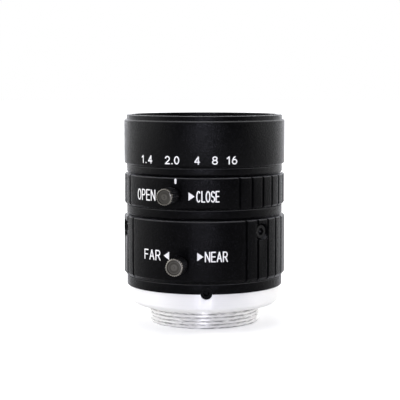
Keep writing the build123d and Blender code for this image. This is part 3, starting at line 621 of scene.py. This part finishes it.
class LENS_OT_mount_ring(bpy.types.Operator):
    """Adds the bare aluminium ring with its threaded nose"""

    bl_idname = "lens.mount_ring"
    bl_label = "Mount ring"

    def execute(self, context):
        sizes = context.scene.lens_sizes
        outer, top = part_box("mount_ring")[1].xz
        bore, crest, spigot = 10.9 * MM, 12.7 * MM, 15.6 * MM
        undercut = crest - 0.6 * MM
        outline = [
            (bore, 0), (crest - 0.4 * MM, 0), (crest, 0.4 * MM), (crest, NOSE - 0.6 * MM),
            (undercut, NOSE - 0.3 * MM), (undercut, NOSE + 0.15 * MM),
            (crest + 0.2 * MM, NOSE + 0.15 * MM), (crest + 0.2 * MM, NOSE),
            (outer - 1.05 * MM, NOSE), (outer, NOSE + 0.9 * MM),
            (outer, top - 0.06 * MM), (outer - 0.06 * MM, top),
            (spigot, top), (spigot, top - 2.2 * MM), (bore, top - 2.2 * MM),
        ]
        ring = turned("mount_ring_turned", outline, sizes.steps)
        for azimuth in SET_AZIMUTHS:
            drill(ring, azimuth, SET_HEIGHT, 1.32 * MM, 14.2 * MM, outer + MM)
        round_edges(ring, sizes.edge_round)
        root, pitch = crest - sizes.thread_depth, sizes.thread_pitch
        cut(ring, thread_cutter(root, crest + 0.05 * MM, pitch, 0.8 * pitch, -0.5 * MM, 3.95 * MM))
        dress(ring, "turned_aluminium", "bare_aluminium", "mount", "mount_ring")
        return {"FINISHED"}


def grip_ring(node, bore, foot, first, lock, sizes, lip=None):
    """A grooved ring with its lock screw's hole, whose top stands a little under the neck above it."""
    outer, low, high = extent(node)
    shoulder, recess, bevel = high - 0.43 * MM, outer - 1.6 * MM, 0.17 * MM
    top = shoulder + bevel
    outline = [
        (bore, low), (outer - foot[0], low), (outer, low + foot[1]),
        (outer, shoulder), (outer - bevel, top), (recess, top), (recess, high),
    ]
    if lip:
        outline += [(lip[0], high), (lip[0], high - lip[1]), (bore, high - lip[1])]
    else:
        outline.append((bore, high))
    ring = turned(node + "_turned", outline, sizes.steps)
    cut(ring, grooves(sizes, outer, low, high, first))
    drill(ring, *lock, 1.05 * MM, 14 * MM, outer + MM)
    drill(ring, *lock, 1.4 * MM, outer - 0.5 * MM, outer + MM)
    return ring, outer


class LENS_OT_focus_ring(bpy.types.Operator):
    """Adds the grooved focus ring with its screw holes"""

    bl_idname = "lens.focus_ring"
    bl_label = "Focus ring"

    def execute(self, context):
        sizes = context.scene.lens_sizes
        foot, lip = (0.6 * MM, 0.75 * MM), (15.5 * MM, 0.8 * MM)
        ring, outer = grip_ring("focus_ring", 16.57 * MM, foot, 30.0, FOCUS_LOCK, sizes, lip)
        for azimuth in GRUB_AZIMUTHS:
            drill(ring, azimuth, GRUB_HEIGHT, 1.45 * MM, 15 * MM, outer + MM)
            drill(ring, azimuth, GRUB_HEIGHT, 1.95 * MM, outer - 1.4 * MM, outer + MM, 64)
        dress(ring, "ring_black", "black_aluminium", "focus_ring", "focus_ring", edge=sizes.edge_round)
        return {"FINISHED"}


class LENS_OT_iris_ring(bpy.types.Operator):
    """Adds the grooved iris ring with its screw hole"""

    bl_idname = "lens.iris_ring"
    bl_label = "Iris ring"

    def execute(self, context):
        sizes = context.scene.lens_sizes
        foot = (0.5 * MM, 0.5 * MM)
        ring, outer = grip_ring("iris_ring", 16.45 * MM, foot, 25.0, IRIS_LOCK, sizes)
        drill(ring, *DRIVE_PIN, 0.72 * MM, 15 * MM, outer + MM)
        dress(ring, "ring_black", "black_aluminium", "iris_ring", "iris_ring", edge=sizes.edge_round)
        return {"FINISHED"}


class LENS_OT_front_barrel(bpy.types.Operator):
    """Adds the front barrel with its neck, rim and filter thread"""

    bl_idname = "lens.front_barrel"
    bl_label = "Front barrel"

    def execute(self, context):
        sizes = context.scene.lens_sizes
        outer, foot, top = extent("front_barrel")
        neck, rim, bore = 17.775 * MM, 17.75 * MM, 16.75 * MM
        shoulder, rim_foot, undercut, edge = foot + 1.85 * MM, top - 1.06 * MM, neck - 0.08 * MM, 0.12 * MM
        outline = [
            (16.42 * MM, foot), (neck - 0.22 * MM, foot), (neck, foot + 0.22 * MM),
            (neck, shoulder - 0.35 * MM), (undercut, shoulder - 0.27 * MM), (undercut, shoulder),
            (outer - 0.3 * MM, shoulder), (outer, shoulder + 0.3 * MM),
            (outer, rim_foot - 0.24 * MM), (outer - 0.3 * MM, rim_foot), (rim, rim_foot),
            (rim, top - edge), (rim - edge, top), (bore + edge, top), (bore, top - edge),
            (bore, 44.4 * MM),
            *scaled((16.4, 44.4), (16.4, 43.0), (15.72, 43.0), (15.72, 38.27), (16.42, 38.27)),
        ]
        barrel = turned("front_barrel_turned", outline, sizes.steps)
        round_edges(barrel, sizes.edge_round)
        root, pitch = bore + sizes.filter_depth, sizes.filter_pitch
        thread = thread_cutter(root, bore - 0.05 * MM, pitch, 0.85 * pitch, 44.85 * MM, top - 0.75 * MM)
        dress(cut(barrel, thread), "anodised_black", "black_aluminium", "inner_barrel", "front_barrel")
        return {"FINISHED"}


class LENS_OT_front_ring(bpy.types.Operator):
    """Adds the stepped baffle ring in front of the glass"""

    bl_idname = "lens.front_ring"
    bl_label = "Baffle ring"

    def execute(self, context):
        outer, foot, top = extent("front_ring")
        seat, opening, drop, steps = 43.02 * MM, 11.2 * MM, 2.2 * MM, 5
        first = outer - 0.6 * MM
        outline = [(15.7 * MM, seat), (outer, seat), (outer, top)]
        for i in range(steps):
            radius = first - i * (first - opening) / steps
            outline += [(radius, top - i * drop / steps), (radius - 0.12 * MM, top - (i + 1) * drop / steps)]
        outline += [(opening, top - drop), (opening, foot)]
        ring = turned("front_ring_turned", outline, context.scene.lens_sizes.steps)
        dress(ring, "inner_black", "black_aluminium", "inner_barrel", "front_ring")
        return {"FINISHED"}


def thumb_screw(name, radius, seat, tip, sizes):
    """A knurled thumb screw, made upright on the axis."""
    top, chamfer, dish = SCREW_FACE, 0.3 * MM, 1.45 * MM
    under = top - 4.4 * MM
    head = circle(name, 4 * sizes.screw_teeth, radius, under, "NGON")
    bpy.ops.object.mode_set(mode="EDIT")
    tooth = 2 * math.pi / sizes.screw_teeth
    select_points(lambda co: (math.atan2(co.y, co.x) / tooth) % 1.0 > 0.45)
    widen(1 - sizes.tooth_depth / radius)
    bpy.ops.mesh.select_all(action="SELECT")
    draw_up(top - under)
    close_up()
    face = [
        (radius, under + chamfer), (radius, top - chamfer),
        (radius - 0.6 * chamfer, top - 0.2 * chamfer), (radius - chamfer, top),
        (dish, top), (dish - 0.1 * MM, top - 0.2 * MM), (dish - 0.55 * MM, top - 0.12 * MM),
        (dish - 0.65 * MM, top - 0.22 * MM), (0.25 * MM, top - 0.2 * MM), (0.15 * MM, top - 0.08 * MM),
        (0, top - 0.05 * MM),
    ]
    cut(head, turned("blank", face, 72, [(radius - chamfer, under), (0, under)]), "INTERSECT")
    neck, shank, foot = 1.15 * MM, 1.0 * MM, seat - 0.4 * MM
    upper = [(neck, foot), (neck, under + chamfer), (0, under + chamfer)]
    lower = [(shank, foot), (shank, tip + 0.12 * MM), (0.88 * MM, tip), (0, tip)]
    cut(head, turned("shank", upper, 48, lower), "UNION")
    return round_edges(head, 0.02 * MM)


class LENS_OT_thumb_screws(bpy.types.Operator):
    """Adds the two knurled thumb screws"""

    bl_idname = "lens.thumb_screws"
    bl_label = "Thumb screws"

    def execute(self, context):
        for kind, lock, radius, tip in (
            ("focus", FOCUS_LOCK, 1.95 * MM, 15.55 * MM),
            ("iris", IRIS_LOCK, 1.85 * MM, 16.55 * MM),
        ):
            seat = RING_SURFACES[kind + "_ring"]
            screw = thumb_screw(kind + "_thumb_screw", radius, seat, tip, context.scene.lens_sizes)
            aim_outwards(screw, *lock)
            dress(screw, kind + "_screw_steel", "steel", kind + "_lock", kind + "_lock_screw")
        return {"FINISHED"}


class LENS_OT_collar(bpy.types.Operator):
    """Adds the black collar with its guide sleeve"""

    bl_idname = "lens.collar"
    bl_label = "Collar"

    def execute(self, context):
        sizes = context.scene.lens_sizes
        outline = scaled(
            (11.2, 6.4), (15.58, 6.4), (15.58, 8.6), (17.63, 8.6), (17.75, 8.72), (17.75, 10.68),
            (17.63, 10.8), (13.95, 10.8), (13.95, 24.0), (12.6, 24.0), (12.6, 8.6), (11.2, 8.6),
        )
        collar = turned("rear_barrel_turned", outline, sizes.steps)
        for azimuth in SET_AZIMUTHS:
            drill(collar, azimuth, SET_HEIGHT, 1.32 * MM, 14.2 * MM, 18.8 * MM)
        mill(collar, KEY_AZIMUTH, KEY_HEIGHT, 2.44 * MM, 5.04 * MM, 13.4 * MM, 15 * MM)
        for side in (-1.4, 1.4):
            drill(collar, KEY_AZIMUTH, KEY_HEIGHT + side * MM, 0.4 * MM, 12.95 * MM, 15 * MM, 24)
        dress(collar, "ring_black", "black_aluminium", "mount", "rear_barrel", edge=sizes.edge_round)
        return {"FINISHED"}


class LENS_OT_inner_barrel(bpy.types.Operator):
    """Adds the inner barrel, seen as the neck between the two rings"""

    bl_idname = "lens.inner_barrel"
    bl_label = "Inner barrel"

    def execute(self, context):
        sizes = context.scene.lens_sizes
        outline = scaled(
            (15.35, 13.4), (15.35, 25.0), (17.555, 25.0), (17.775, 25.22), (17.775, 26.83),
            (17.655, 26.95), (16.4, 26.95), (16.4, 38.25), (15.0, 38.25), (15.0, 26.95),
            (10.47, 26.95), (10.47, 25.0), (14.0, 25.0), (14.0, 13.4),
        )
        barrel = turned("lens_barrel_turned", outline, sizes.steps)
        for azimuth in (30, 150, 270):
            drill(barrel, azimuth, 17.3 * MM, 0.62 * MM, 13 * MM, 16.3 * MM, 32)
        mill(barrel, KEY_AZIMUTH, 15.75 * MM, 2.5 * MM, 6.7 * MM, 13 * MM, 16.3 * MM)
        azimuth, height = DRIVE_PIN
        start, end = IRIS_TURN
        deselect()
        bpy.ops.mesh.primitive_plane_add(size=1)
        slot = added("cutter")
        slot.location = (15.7 * MM, 0, height)
        settle(slot, scale=(3.4 * MM, 1.5 * MM, 1), rotation_euler=(math.pi / 2, 0, 0))
        settle(slot, rotation_euler=(0, 0, math.radians(azimuth - 90 + start)))
        edit_all()
        bpy.ops.mesh.spin(steps=48, angle=math.radians(end - start), center=(0, 0, 0), axis=(0, 0, 1))
        close_up()
        cut(barrel, slot)
        for turn in IRIS_TURN:
            drill(barrel, azimuth + turn, height, 0.75 * MM, 14 * MM, 17.4 * MM)
        dress(barrel, "ring_black", "black_aluminium", "inner_barrel", "lens_barrel", edge=sizes.edge_round)
        return {"FINISHED"}


class LENS_OT_cells(bpy.types.Operator):
    """Adds the two glass cells, their spacers and the retaining rings"""

    bl_idname = "lens.cells"
    bl_label = "Cells and rings"

    def execute(self, context):
        sizes = context.scene.lens_sizes
        foot = extent("front_cell")[1] / MM
        front = (
            (9.4, foot), (14.98, foot), (14.98, 38.25), (15.7, 38.25), (15.7, 39.25),
            (13.0, 39.25), (13.0, 40.85), (11.0, 40.85), (11.0, 35.3), (9.4, 35.3),
        )
        rear = (
            (8.6, 2.6), (10.33, 2.6), (10.45, 2.72), (10.45, 23.8), (11.4, 23.8), (11.4, 25.0),
            (10.45, 25.0), (10.45, 26.95), (7.4, 26.95), (7.4, 26.25), (8.6, 26.25),
        )
        black = ("inner_black", "black_aluminium", "inner_barrel")
        for node, outline in (("front_cell", front), ("rear_cell", rear)):
            cell = turned(node + "_turned", scaled(*outline), sizes.steps)
            dress(cell, *black, node, edge=sizes.edge_round)
        for node, wall, slotted, looks in (
            ("front_spacer", 0.8, 0, black),
            ("front_retaining_ring", 0.8, 1, black),
            ("upper_spacer", 0.8, 0, black),
            ("lower_spacer", 0.8, 0, black),
            ("rear_retaining_ring", 0.8, -1, black),
            ("iris_retaining_ring", 2.0, 1, black),
            ("focus_retaining_ring", 1.1, 1, ("turned_brass", "brass", "mount")),
        ):
            outer, low, high = extent(node)
            inner = outer - wall * MM
            outline = [(inner, low), (outer, low), (outer, high), (inner, high)]
            ring = turned(node + "_turned", outline, sizes.steps)
            if slotted:
                end = high if slotted > 0 else low
                cut(ring, block("slot_cutter", (2 * outer + MM, 0.8 * MM, 0.8 * MM), (0, 0, end)))
            dress(ring, *looks, node, edge=sizes.edge_round)
        return {"FINISHED"}


def rise(bulge, radius, at):
    """Height of a spherical surface above its own edge, at a distance from the axis."""
    ball = (radius**2 + bulge**2) / (2 * abs(bulge))
    height = math.sqrt(ball**2 - at**2) - (ball - abs(bulge))
    return height if bulge > 0 else -height


class LENS_OT_glass(bpy.types.Operator):
    """Adds the five glass elements with ground edges and spherical faces"""

    bl_idname = "lens.glass"
    bl_label = "Glass elements"

    def execute(self, context):
        rings = 20
        for node, edge, front, rear in (
            ("front_element", 1.3, 2.0, -0.5),
            ("second_element", 2.15, 0.9, -1.6),
            ("third_element", 3.2, -1.5, -0.8),
            ("fourth_element", 4.4, 1.8, 1.2),
            ("rear_element", 3.4, 1.0, 0.9),
        ):
            radius, low, high = extent(node)
            front, rear = front * MM, rear * MM
            bottom = low + max(rear, 0)
            top = bottom + edge * MM
            places = [radius * i / rings for i in range(rings - 1, -1, -1)]
            upper = [(at, top + rise(front, radius, at)) for at in places]
            lower = [(at, bottom - rise(rear, radius, at)) for at in places]
            rim = [(radius, bottom), (radius, top)]
            glass = turned(node + "_ground", rim + upper, FINE_STEPS, lower)
            dress(glass, "lens_glass", "coated_glass", "inner_barrel", node, angle=35)
        return {"FINISHED"}


class LENS_OT_fine_nodes(bpy.types.Operator):
    """Gives the other pieces of the frame smooth shading and their finishes"""

    bl_idname = "lens.fine_nodes"
    bl_label = "Inner pieces"

    def execute(self, context):
        for node, finish, slot, body in (
            ("mount_set_screws", "dull_black_steel", "black_steel", "mount"),
            ("guide_key", "ground_steel", "steel", "mount"),
            ("guide_key_screws", "ground_steel", "steel", "mount"),
            ("focus_grub_screws", "black_oxide", "black_steel", "focus_ring"),
            ("focus_drive_sleeve", "turned_brass", "brass", "focus_ring"),
            ("cam_pins", "ground_steel", "steel", "inner_barrel"),
            ("iris_base_plate", "inner_black", "black_aluminium", "inner_barrel"),
            ("iris_drive_pin", "ground_steel", "steel", "iris_ring"),
            ("iris_cam_ring", "inner_black", "black_aluminium", "iris_ring"),
            *((f"iris_blade_{i}", "spring_steel", "blade_steel", f"blade_{i}") for i in range(1, 7)),
        ):
            smoothed_node(node, finish, slot, body)
        return {"FINISHED"}


def arc(x, y, across, up, start, end, steps):
    """Points of an elliptic arc, from one angle to another in degrees."""
    angles = [math.radians(start + (end - start) * i / steps) for i in range(steps + 1)]
    return [(x + across * math.cos(a), y + up * math.sin(a)) for a in angles]


STEM = [(0, 0), (0, 1)]
HOOK = [(0.02, 0.4), (0.1, 0.62), (0.28, 0.88), (0.5, 1)]
UPPER_HALF = arc(0.45, 0.745, 0.42, 0.255, 28, 270, 14)
BOWL = [(0, 1), (0.5, 1)] + arc(0.5, 0.74, 0.4, 0.26, 80, -90, 10) + [(0, 0.48)]
GLYPHS = {
    "A": (1.0, [[(0, 0), (0.5, 1)], [(0.5, 1), (1, 0)], [(0.2, 0.34), (0.8, 0.34)]]),
    "C": (1.0, [arc(0.5, 0.5, 0.5, 0.5, 48, 312, 20)]),
    "E": (0.85, [STEM, [(0, 1), (0.85, 1)], [(0, 0.52), (0.78, 0.52)], [(0, 0), (0.85, 0)]]),
    "F": (0.85, [STEM, [(0, 1), (0.85, 1)], [(0, 0.52), (0.75, 0.52)]]),
    "L": (0.8, [[(0, 1), (0, 0)], [(0, 0), (0.8, 0)]]),
    "N": (1.0, [STEM, [(0, 1), (1, 0)], [(1, 0), (1, 1)]]),
    "O": (1.0, [arc(0.5, 0.5, 0.5, 0.5, 0, 360, 28)]),
    "P": (0.9, [STEM, BOWL]),
    "R": (0.95, [STEM, BOWL, [(0.5, 0.48), (0.95, 0)]]),
    "S": (0.9, [UPPER_HALF + arc(0.45, 0.245, 0.45, 0.245, 90, -152, 14)[1:]]),
    "0": (0.82, [arc(0.41, 0.5, 0.41, 0.5, 0, 360, 28)]),
    "1": (0.5, [[(0.36, 0), (0.36, 1)], [(0.36, 1), (0, 0.76)]]),
    "2": (0.82, [arc(0.41, 0.7, 0.4, 0.3, 165, -32, 12) + [(0, 0)], [(0, 0), (0.82, 0)]]),
    "4": (0.9, [[(0.66, 0), (0.66, 1)], [(0.66, 1), (0, 0.28)], [(0, 0.28), (0.9, 0.28)]]),
    "6": (0.82, [arc(0.41, 0.31, 0.41, 0.31, 0, 360, 22), HOOK]),
    "8": (0.95, [arc(0.475, 0.76, 0.4, 0.24, 0, 360, 20), arc(0.475, 0.26, 0.475, 0.26, 0, 360, 22)]),
    ".": (0.05, [[(0.0, 0.02), (0.05, 0.02)]]),
}


def word(name, letters, width, height, gap, sizes):
    """A word of round-ended strokes of one width, centred on the origin and as thick as paint."""
    stroke = sizes.stroke
    line = bpy.data.curves.new(name, "CURVE")
    line.dimensions = "3D"
    line.bevel_depth = stroke / 2
    line.bevel_resolution = 1
    line.use_fill_caps = True
    units = sum(GLYPHS[letter][0] for letter in letters) + gap * (len(letters) - 1)
    across, up = (width - stroke) / units, height - stroke
    start = -(width - stroke) / 2
    for letter in letters:
        advance, strokes = GLYPHS[letter]
        for points in strokes:
            path = [Vector((start + x * across, (y - 0.5) * up, 0)) for x, y in points]
            closed = (path[0] - path[-1]).length < 1e-9
            thick = [1.0] * len(path)
            if closed:
                path = path[:-1]
            else:
                first = (path[0] - path[1]).normalized() * stroke / 2
                last = (path[-1] - path[-2]).normalized() * stroke / 2
                start_cap = [path[0] + first, path[0] + 0.7 * first]
                path = start_cap + path + [path[-1] + 0.7 * last, path[-1] + last]
                thick = [0.25, 0.72] + thick + [0.72, 0.25]
            spline = line.splines.new("POLY")
            spline.points.add(len(path) - 1)
            spline.use_cyclic_u = closed
            for point, spot, share in zip(spline.points, path, thick):
                point.co = (*spot, 1)
                point.radius = share
        start += (advance + gap) * across
    piece = bpy.data.objects.new(name, line)
    bpy.context.scene.collection.objects.link(piece)
    pick(piece)
    bpy.ops.object.convert(target="MESH")
    return settle(bpy.context.object, scale=(1, 1, sizes.paint / stroke))


def arrow(name, side, sizes):
    """A solid triangle that points left or right, centred on the origin."""
    width, height = 1.36 * MM, 1.85 * MM
    piece = circle(name, 3, 1, fill="NGON")
    piece.rotation_euler = (0, 0, -side * math.pi / 2)
    piece.location = (-side * width / 6, 0, -sizes.paint / 2)
    settle(piece, scale=(height / math.sqrt(3), width / 1.5, 1))
    edit_all()
    bpy.ops.mesh.bevel(offset=0.08 * MM, segments=2, affect="VERTICES")
    draw_up(sizes.paint)
    close_up()
    return piece


def index_mark(name, width, height, sizes):
    """A short bar with round ends, centred on the origin."""
    low = (width - height) / 2
    piece = settle(circle(name, 24, width / 2, fill="NGON"), location=(0, low, -sizes.paint / 2))
    bpy.ops.object.mode_set(mode="EDIT")
    select_points(lambda co: co.y > low + NEARLY)
    bpy.ops.transform.translate(value=(0, height - width, 0))
    bpy.ops.mesh.select_all(action="SELECT")
    draw_up(sizes.paint)
    close_up()
    return piece


def print_on(piece, body, azimuth, height, sizes):
    """Bends a flat legend round the surface of a ring, and paints it."""
    radius = RING_SURFACES[body] + PAINT_LIFT * sizes.paint
    for point in piece.data.vertices:
        x, y, z = point.co
        angle = math.radians(azimuth) + x / radius
        point.co = ((radius + z) * math.sin(angle), -(radius + z) * math.cos(angle), height + y)
    dress(piece, "legend_white", "black_aluminium", body)


class LENS_OT_legends(bpy.types.Operator):
    """Adds the white numbers, words, arrows and index mark"""

    bl_idname = "lens.legends"
    bl_label = "Legends"

    def execute(self, context):
        sizes = context.scene.lens_sizes
        barrel = ("inner_barrel", 37.9, sizes.number_height)
        iris = ("iris_ring", 30.08, sizes.iris_word_height)
        focus = ("focus_ring", 16.98, sizes.focus_word_height)
        for (body, level, height), name, letters, width, azimuth, gap in (
            (barrel, "number_1.4", "1.4", 3.35, -43.5, 0.66),
            (barrel, "number_2.0", "2.0", 3.4, -22.5, 0.5),
            (barrel, "number_4", "4", 1.28, -4.85, 0),
            (barrel, "number_8", "8", 1.28, 7.1, 0),
            (barrel, "number_16", "16", 2.45, 19.0, 0.46),
            (iris, "word_OPEN", "OPEN", 5.7, -44.7, 0.46),
            (iris, "word_CLOSE", "CLOSE", 5.1, 2.4, 0.42),
            (focus, "word_FAR", "FAR", 4.7, -38.7, 0.44),
            (focus, "word_NEAR", "NEAR", 5.1, 8.2, 0.44),
        ):
            print_on(word(name, letters, width * MM, height, gap, sizes), body, azimuth, level * MM, sizes)
        for (body, level, height), name, azimuth, side in (
            (iris, "arrow_close", -8.7, 1),
            (focus, "arrow_far", -26.8, -1),
            (focus, "arrow_near", -2.75, 1),
        ):
            print_on(arrow(name, side, sizes), body, azimuth, (level + 0.03) * MM, sizes)
        mark = index_mark("index_mark", 0.5 * MM, 1.2 * MM, sizes)
        print_on(mark, "iris_ring", -20.0, 33.35 * MM, sizes)
        return {"FINISHED"}


def area_light(name, spot, width, height, power, tone):
    """A soft rectangular light that points at the middle of the lens."""
    data = bpy.data.lights.new(name, "AREA")
    data.shape = "RECTANGLE"
    data.size, data.size_y = width, height
    data.energy = power
    data.color = tone
    light = bpy.data.objects.new(name, data)
    light.location = spot
    light.rotation_euler = (Vector((0, 0, 0.024)) - Vector(spot)).to_track_quat("-Z", "Y").to_euler()
    bpy.context.scene.collection.objects.link(light)


class LENS_OT_studio(bpy.types.Operator):
    """Adds the pale floor, the soft lights and the camera"""

    bl_idname = "lens.studio"
    bl_label = "Studio"

    def execute(self, context):
        scene = context.scene
        studio, tone = scene.lens_studio, scene.lens_colours.floor
        scene.view_settings.view_transform = "Standard"
        deselect()
        bpy.ops.mesh.primitive_plane_add(size=6)
        floor = added("floor")
        bpy.ops.object.mode_set(mode="EDIT")
        bpy.ops.mesh.subdivide(number_cuts=3)
        bpy.ops.object.mode_set(mode="OBJECT")
        material, shader, place = surface("pale_floor")
        path = step(place, "ShaderNodeLightPath").outputs
        mirrored = joined("MAXIMUM", path["Is Glossy Ray"], path["Is Transmission Ray"])
        near = spread(size_of(place), 0.3, 1.0, 0.04, 0.3)
        far = spread(parts_of(place)["Y"], 0.0, 0.9, -0.05, 0.3)
        seen = joined("MULTIPLY", near, path["Is Camera Ray"])
        values = {
            "Base Color": shade(noise(place, 40), tone, 0.995, 1.0),
            "Roughness": 0.9,
            "Specular IOR Level": 0.0,
            "Emission Color": (1, 1, 1, 1),
            "Emission Strength": joined("ADD", seen, joined("MULTIPLY", far, mirrored)),
        }
        fill(shader, values)
        floor.data.materials.append(material)

        world = scene.world = bpy.data.worlds.new("studio")
        world.use_nodes = True
        tree = world.node_tree
        tree.nodes.clear()
        towards = {0: step(tree, "ShaderNodeTexCoord", output="Generated"), 1: (-0.28, 1.0, -0.6)}
        side = step(tree, "ShaderNodeVectorMath", towards, "Value", operation="DOT_PRODUCT")
        path = step(tree, "ShaderNodeLightPath").outputs
        limit = spread(path["Is Glossy Ray"], 0.9, 2.1, 0.0, 1.0)
        strength = joined("MINIMUM", spread(side, 0.04, 2.1, -0.85, 0.35), limit)
        kind = "ShaderNodeBackground"
        room = step(tree, kind, {"Color": (0.97, 0.98, 1.0, 1), "Strength": strength}, "Background")
        white = step(tree, kind, {"Color": (1, 1, 1, 1), "Strength": 1.0}, "Background")
        seen = joined("MAXIMUM", path["Is Camera Ray"], path["Is Transmission Ray"])
        chosen = step(tree, "ShaderNodeMixShader", {"Fac": seen, 1: room, 2: white}, "Shader")
        step(tree, "ShaderNodeOutputWorld", {"Surface": chosen})

        soft = (1.0, 0.99, 0.98)
        area_light("left_light", (-0.50, -0.06, 0.25), 0.35, 0.45, studio.left_power, soft)
        area_light("right_light", (0.50, 0.0, 0.25), 0.30, 0.40, studio.right_power, soft)
        area_light("front_light", (-0.012, -0.52, 0.11), 0.12, 0.10, studio.front_power, (0.82, 0.825, 1.0))
        area_light("top_light", (0, -0.02, 0.60), 0.30, 0.30, studio.top_power, (1.0, 1.0, 1.0))

        data = bpy.data.cameras.new("camera")
        data.lens = studio.focal_length
        data.sensor_width = 36
        data.shift_x = studio.camera_shift
        data.clip_start = 0.01
        camera = scene.camera = bpy.data.objects.new("camera", data)
        camera.location = (0, -studio.camera_distance, studio.camera_height)
        camera.rotation_euler = (math.pi / 2 - studio.camera_pitch, 0, 0)
        scene.collection.objects.link(camera)
        return {"FINISHED"}


OPERATORS = (
    LENS_OT_mount_ring, LENS_OT_collar, LENS_OT_inner_barrel, LENS_OT_focus_ring, LENS_OT_iris_ring,
    LENS_OT_front_barrel, LENS_OT_front_ring, LENS_OT_thumb_screws, LENS_OT_cells, LENS_OT_glass,
    LENS_OT_fine_nodes, LENS_OT_legends, LENS_OT_studio,
)
GROUPS = {"lens_sizes": LensSizes, "lens_colours": LensColours, "lens_studio": LensStudio}


class LENS_PT_panel(bpy.types.Panel):
    """Lists the pieces of the lens"""

    bl_label = "Lens"
    bl_idname = "LENS_PT_panel"
    bl_space_type = "VIEW_3D"
    bl_region_type = "UI"
    bl_category = "Lens"

    def draw(self, context):
        for operator in OPERATORS:
            self.layout.operator(operator.bl_idname)
        for group in GROUPS:
            settings = getattr(context.scene, group)
            column = self.layout.column(align=True)
            for name in settings.__annotations__:
                column.prop(settings, name)


CLASSES = (*GROUPS.values(), *OPERATORS, LENS_PT_panel)


def register():
    for part in CLASSES:
        bpy.utils.register_class(part)
    for name, group in GROUPS.items():
        setattr(bpy.types.Scene, name, bpy.props.PointerProperty(type=group))


def unregister():
    for name in GROUPS:
        delattr(bpy.types.Scene, name)
    for part in reversed(CLASSES):
        bpy.utils.unregister_class(part)


def main():
    """Builds every piece and the studio."""
    register()
    for operator in OPERATORS:
        group, call = operator.bl_idname.split(".")
        getattr(getattr(bpy.ops, group), call)()
    deselect()


if __name__ == "__main__":
    main()
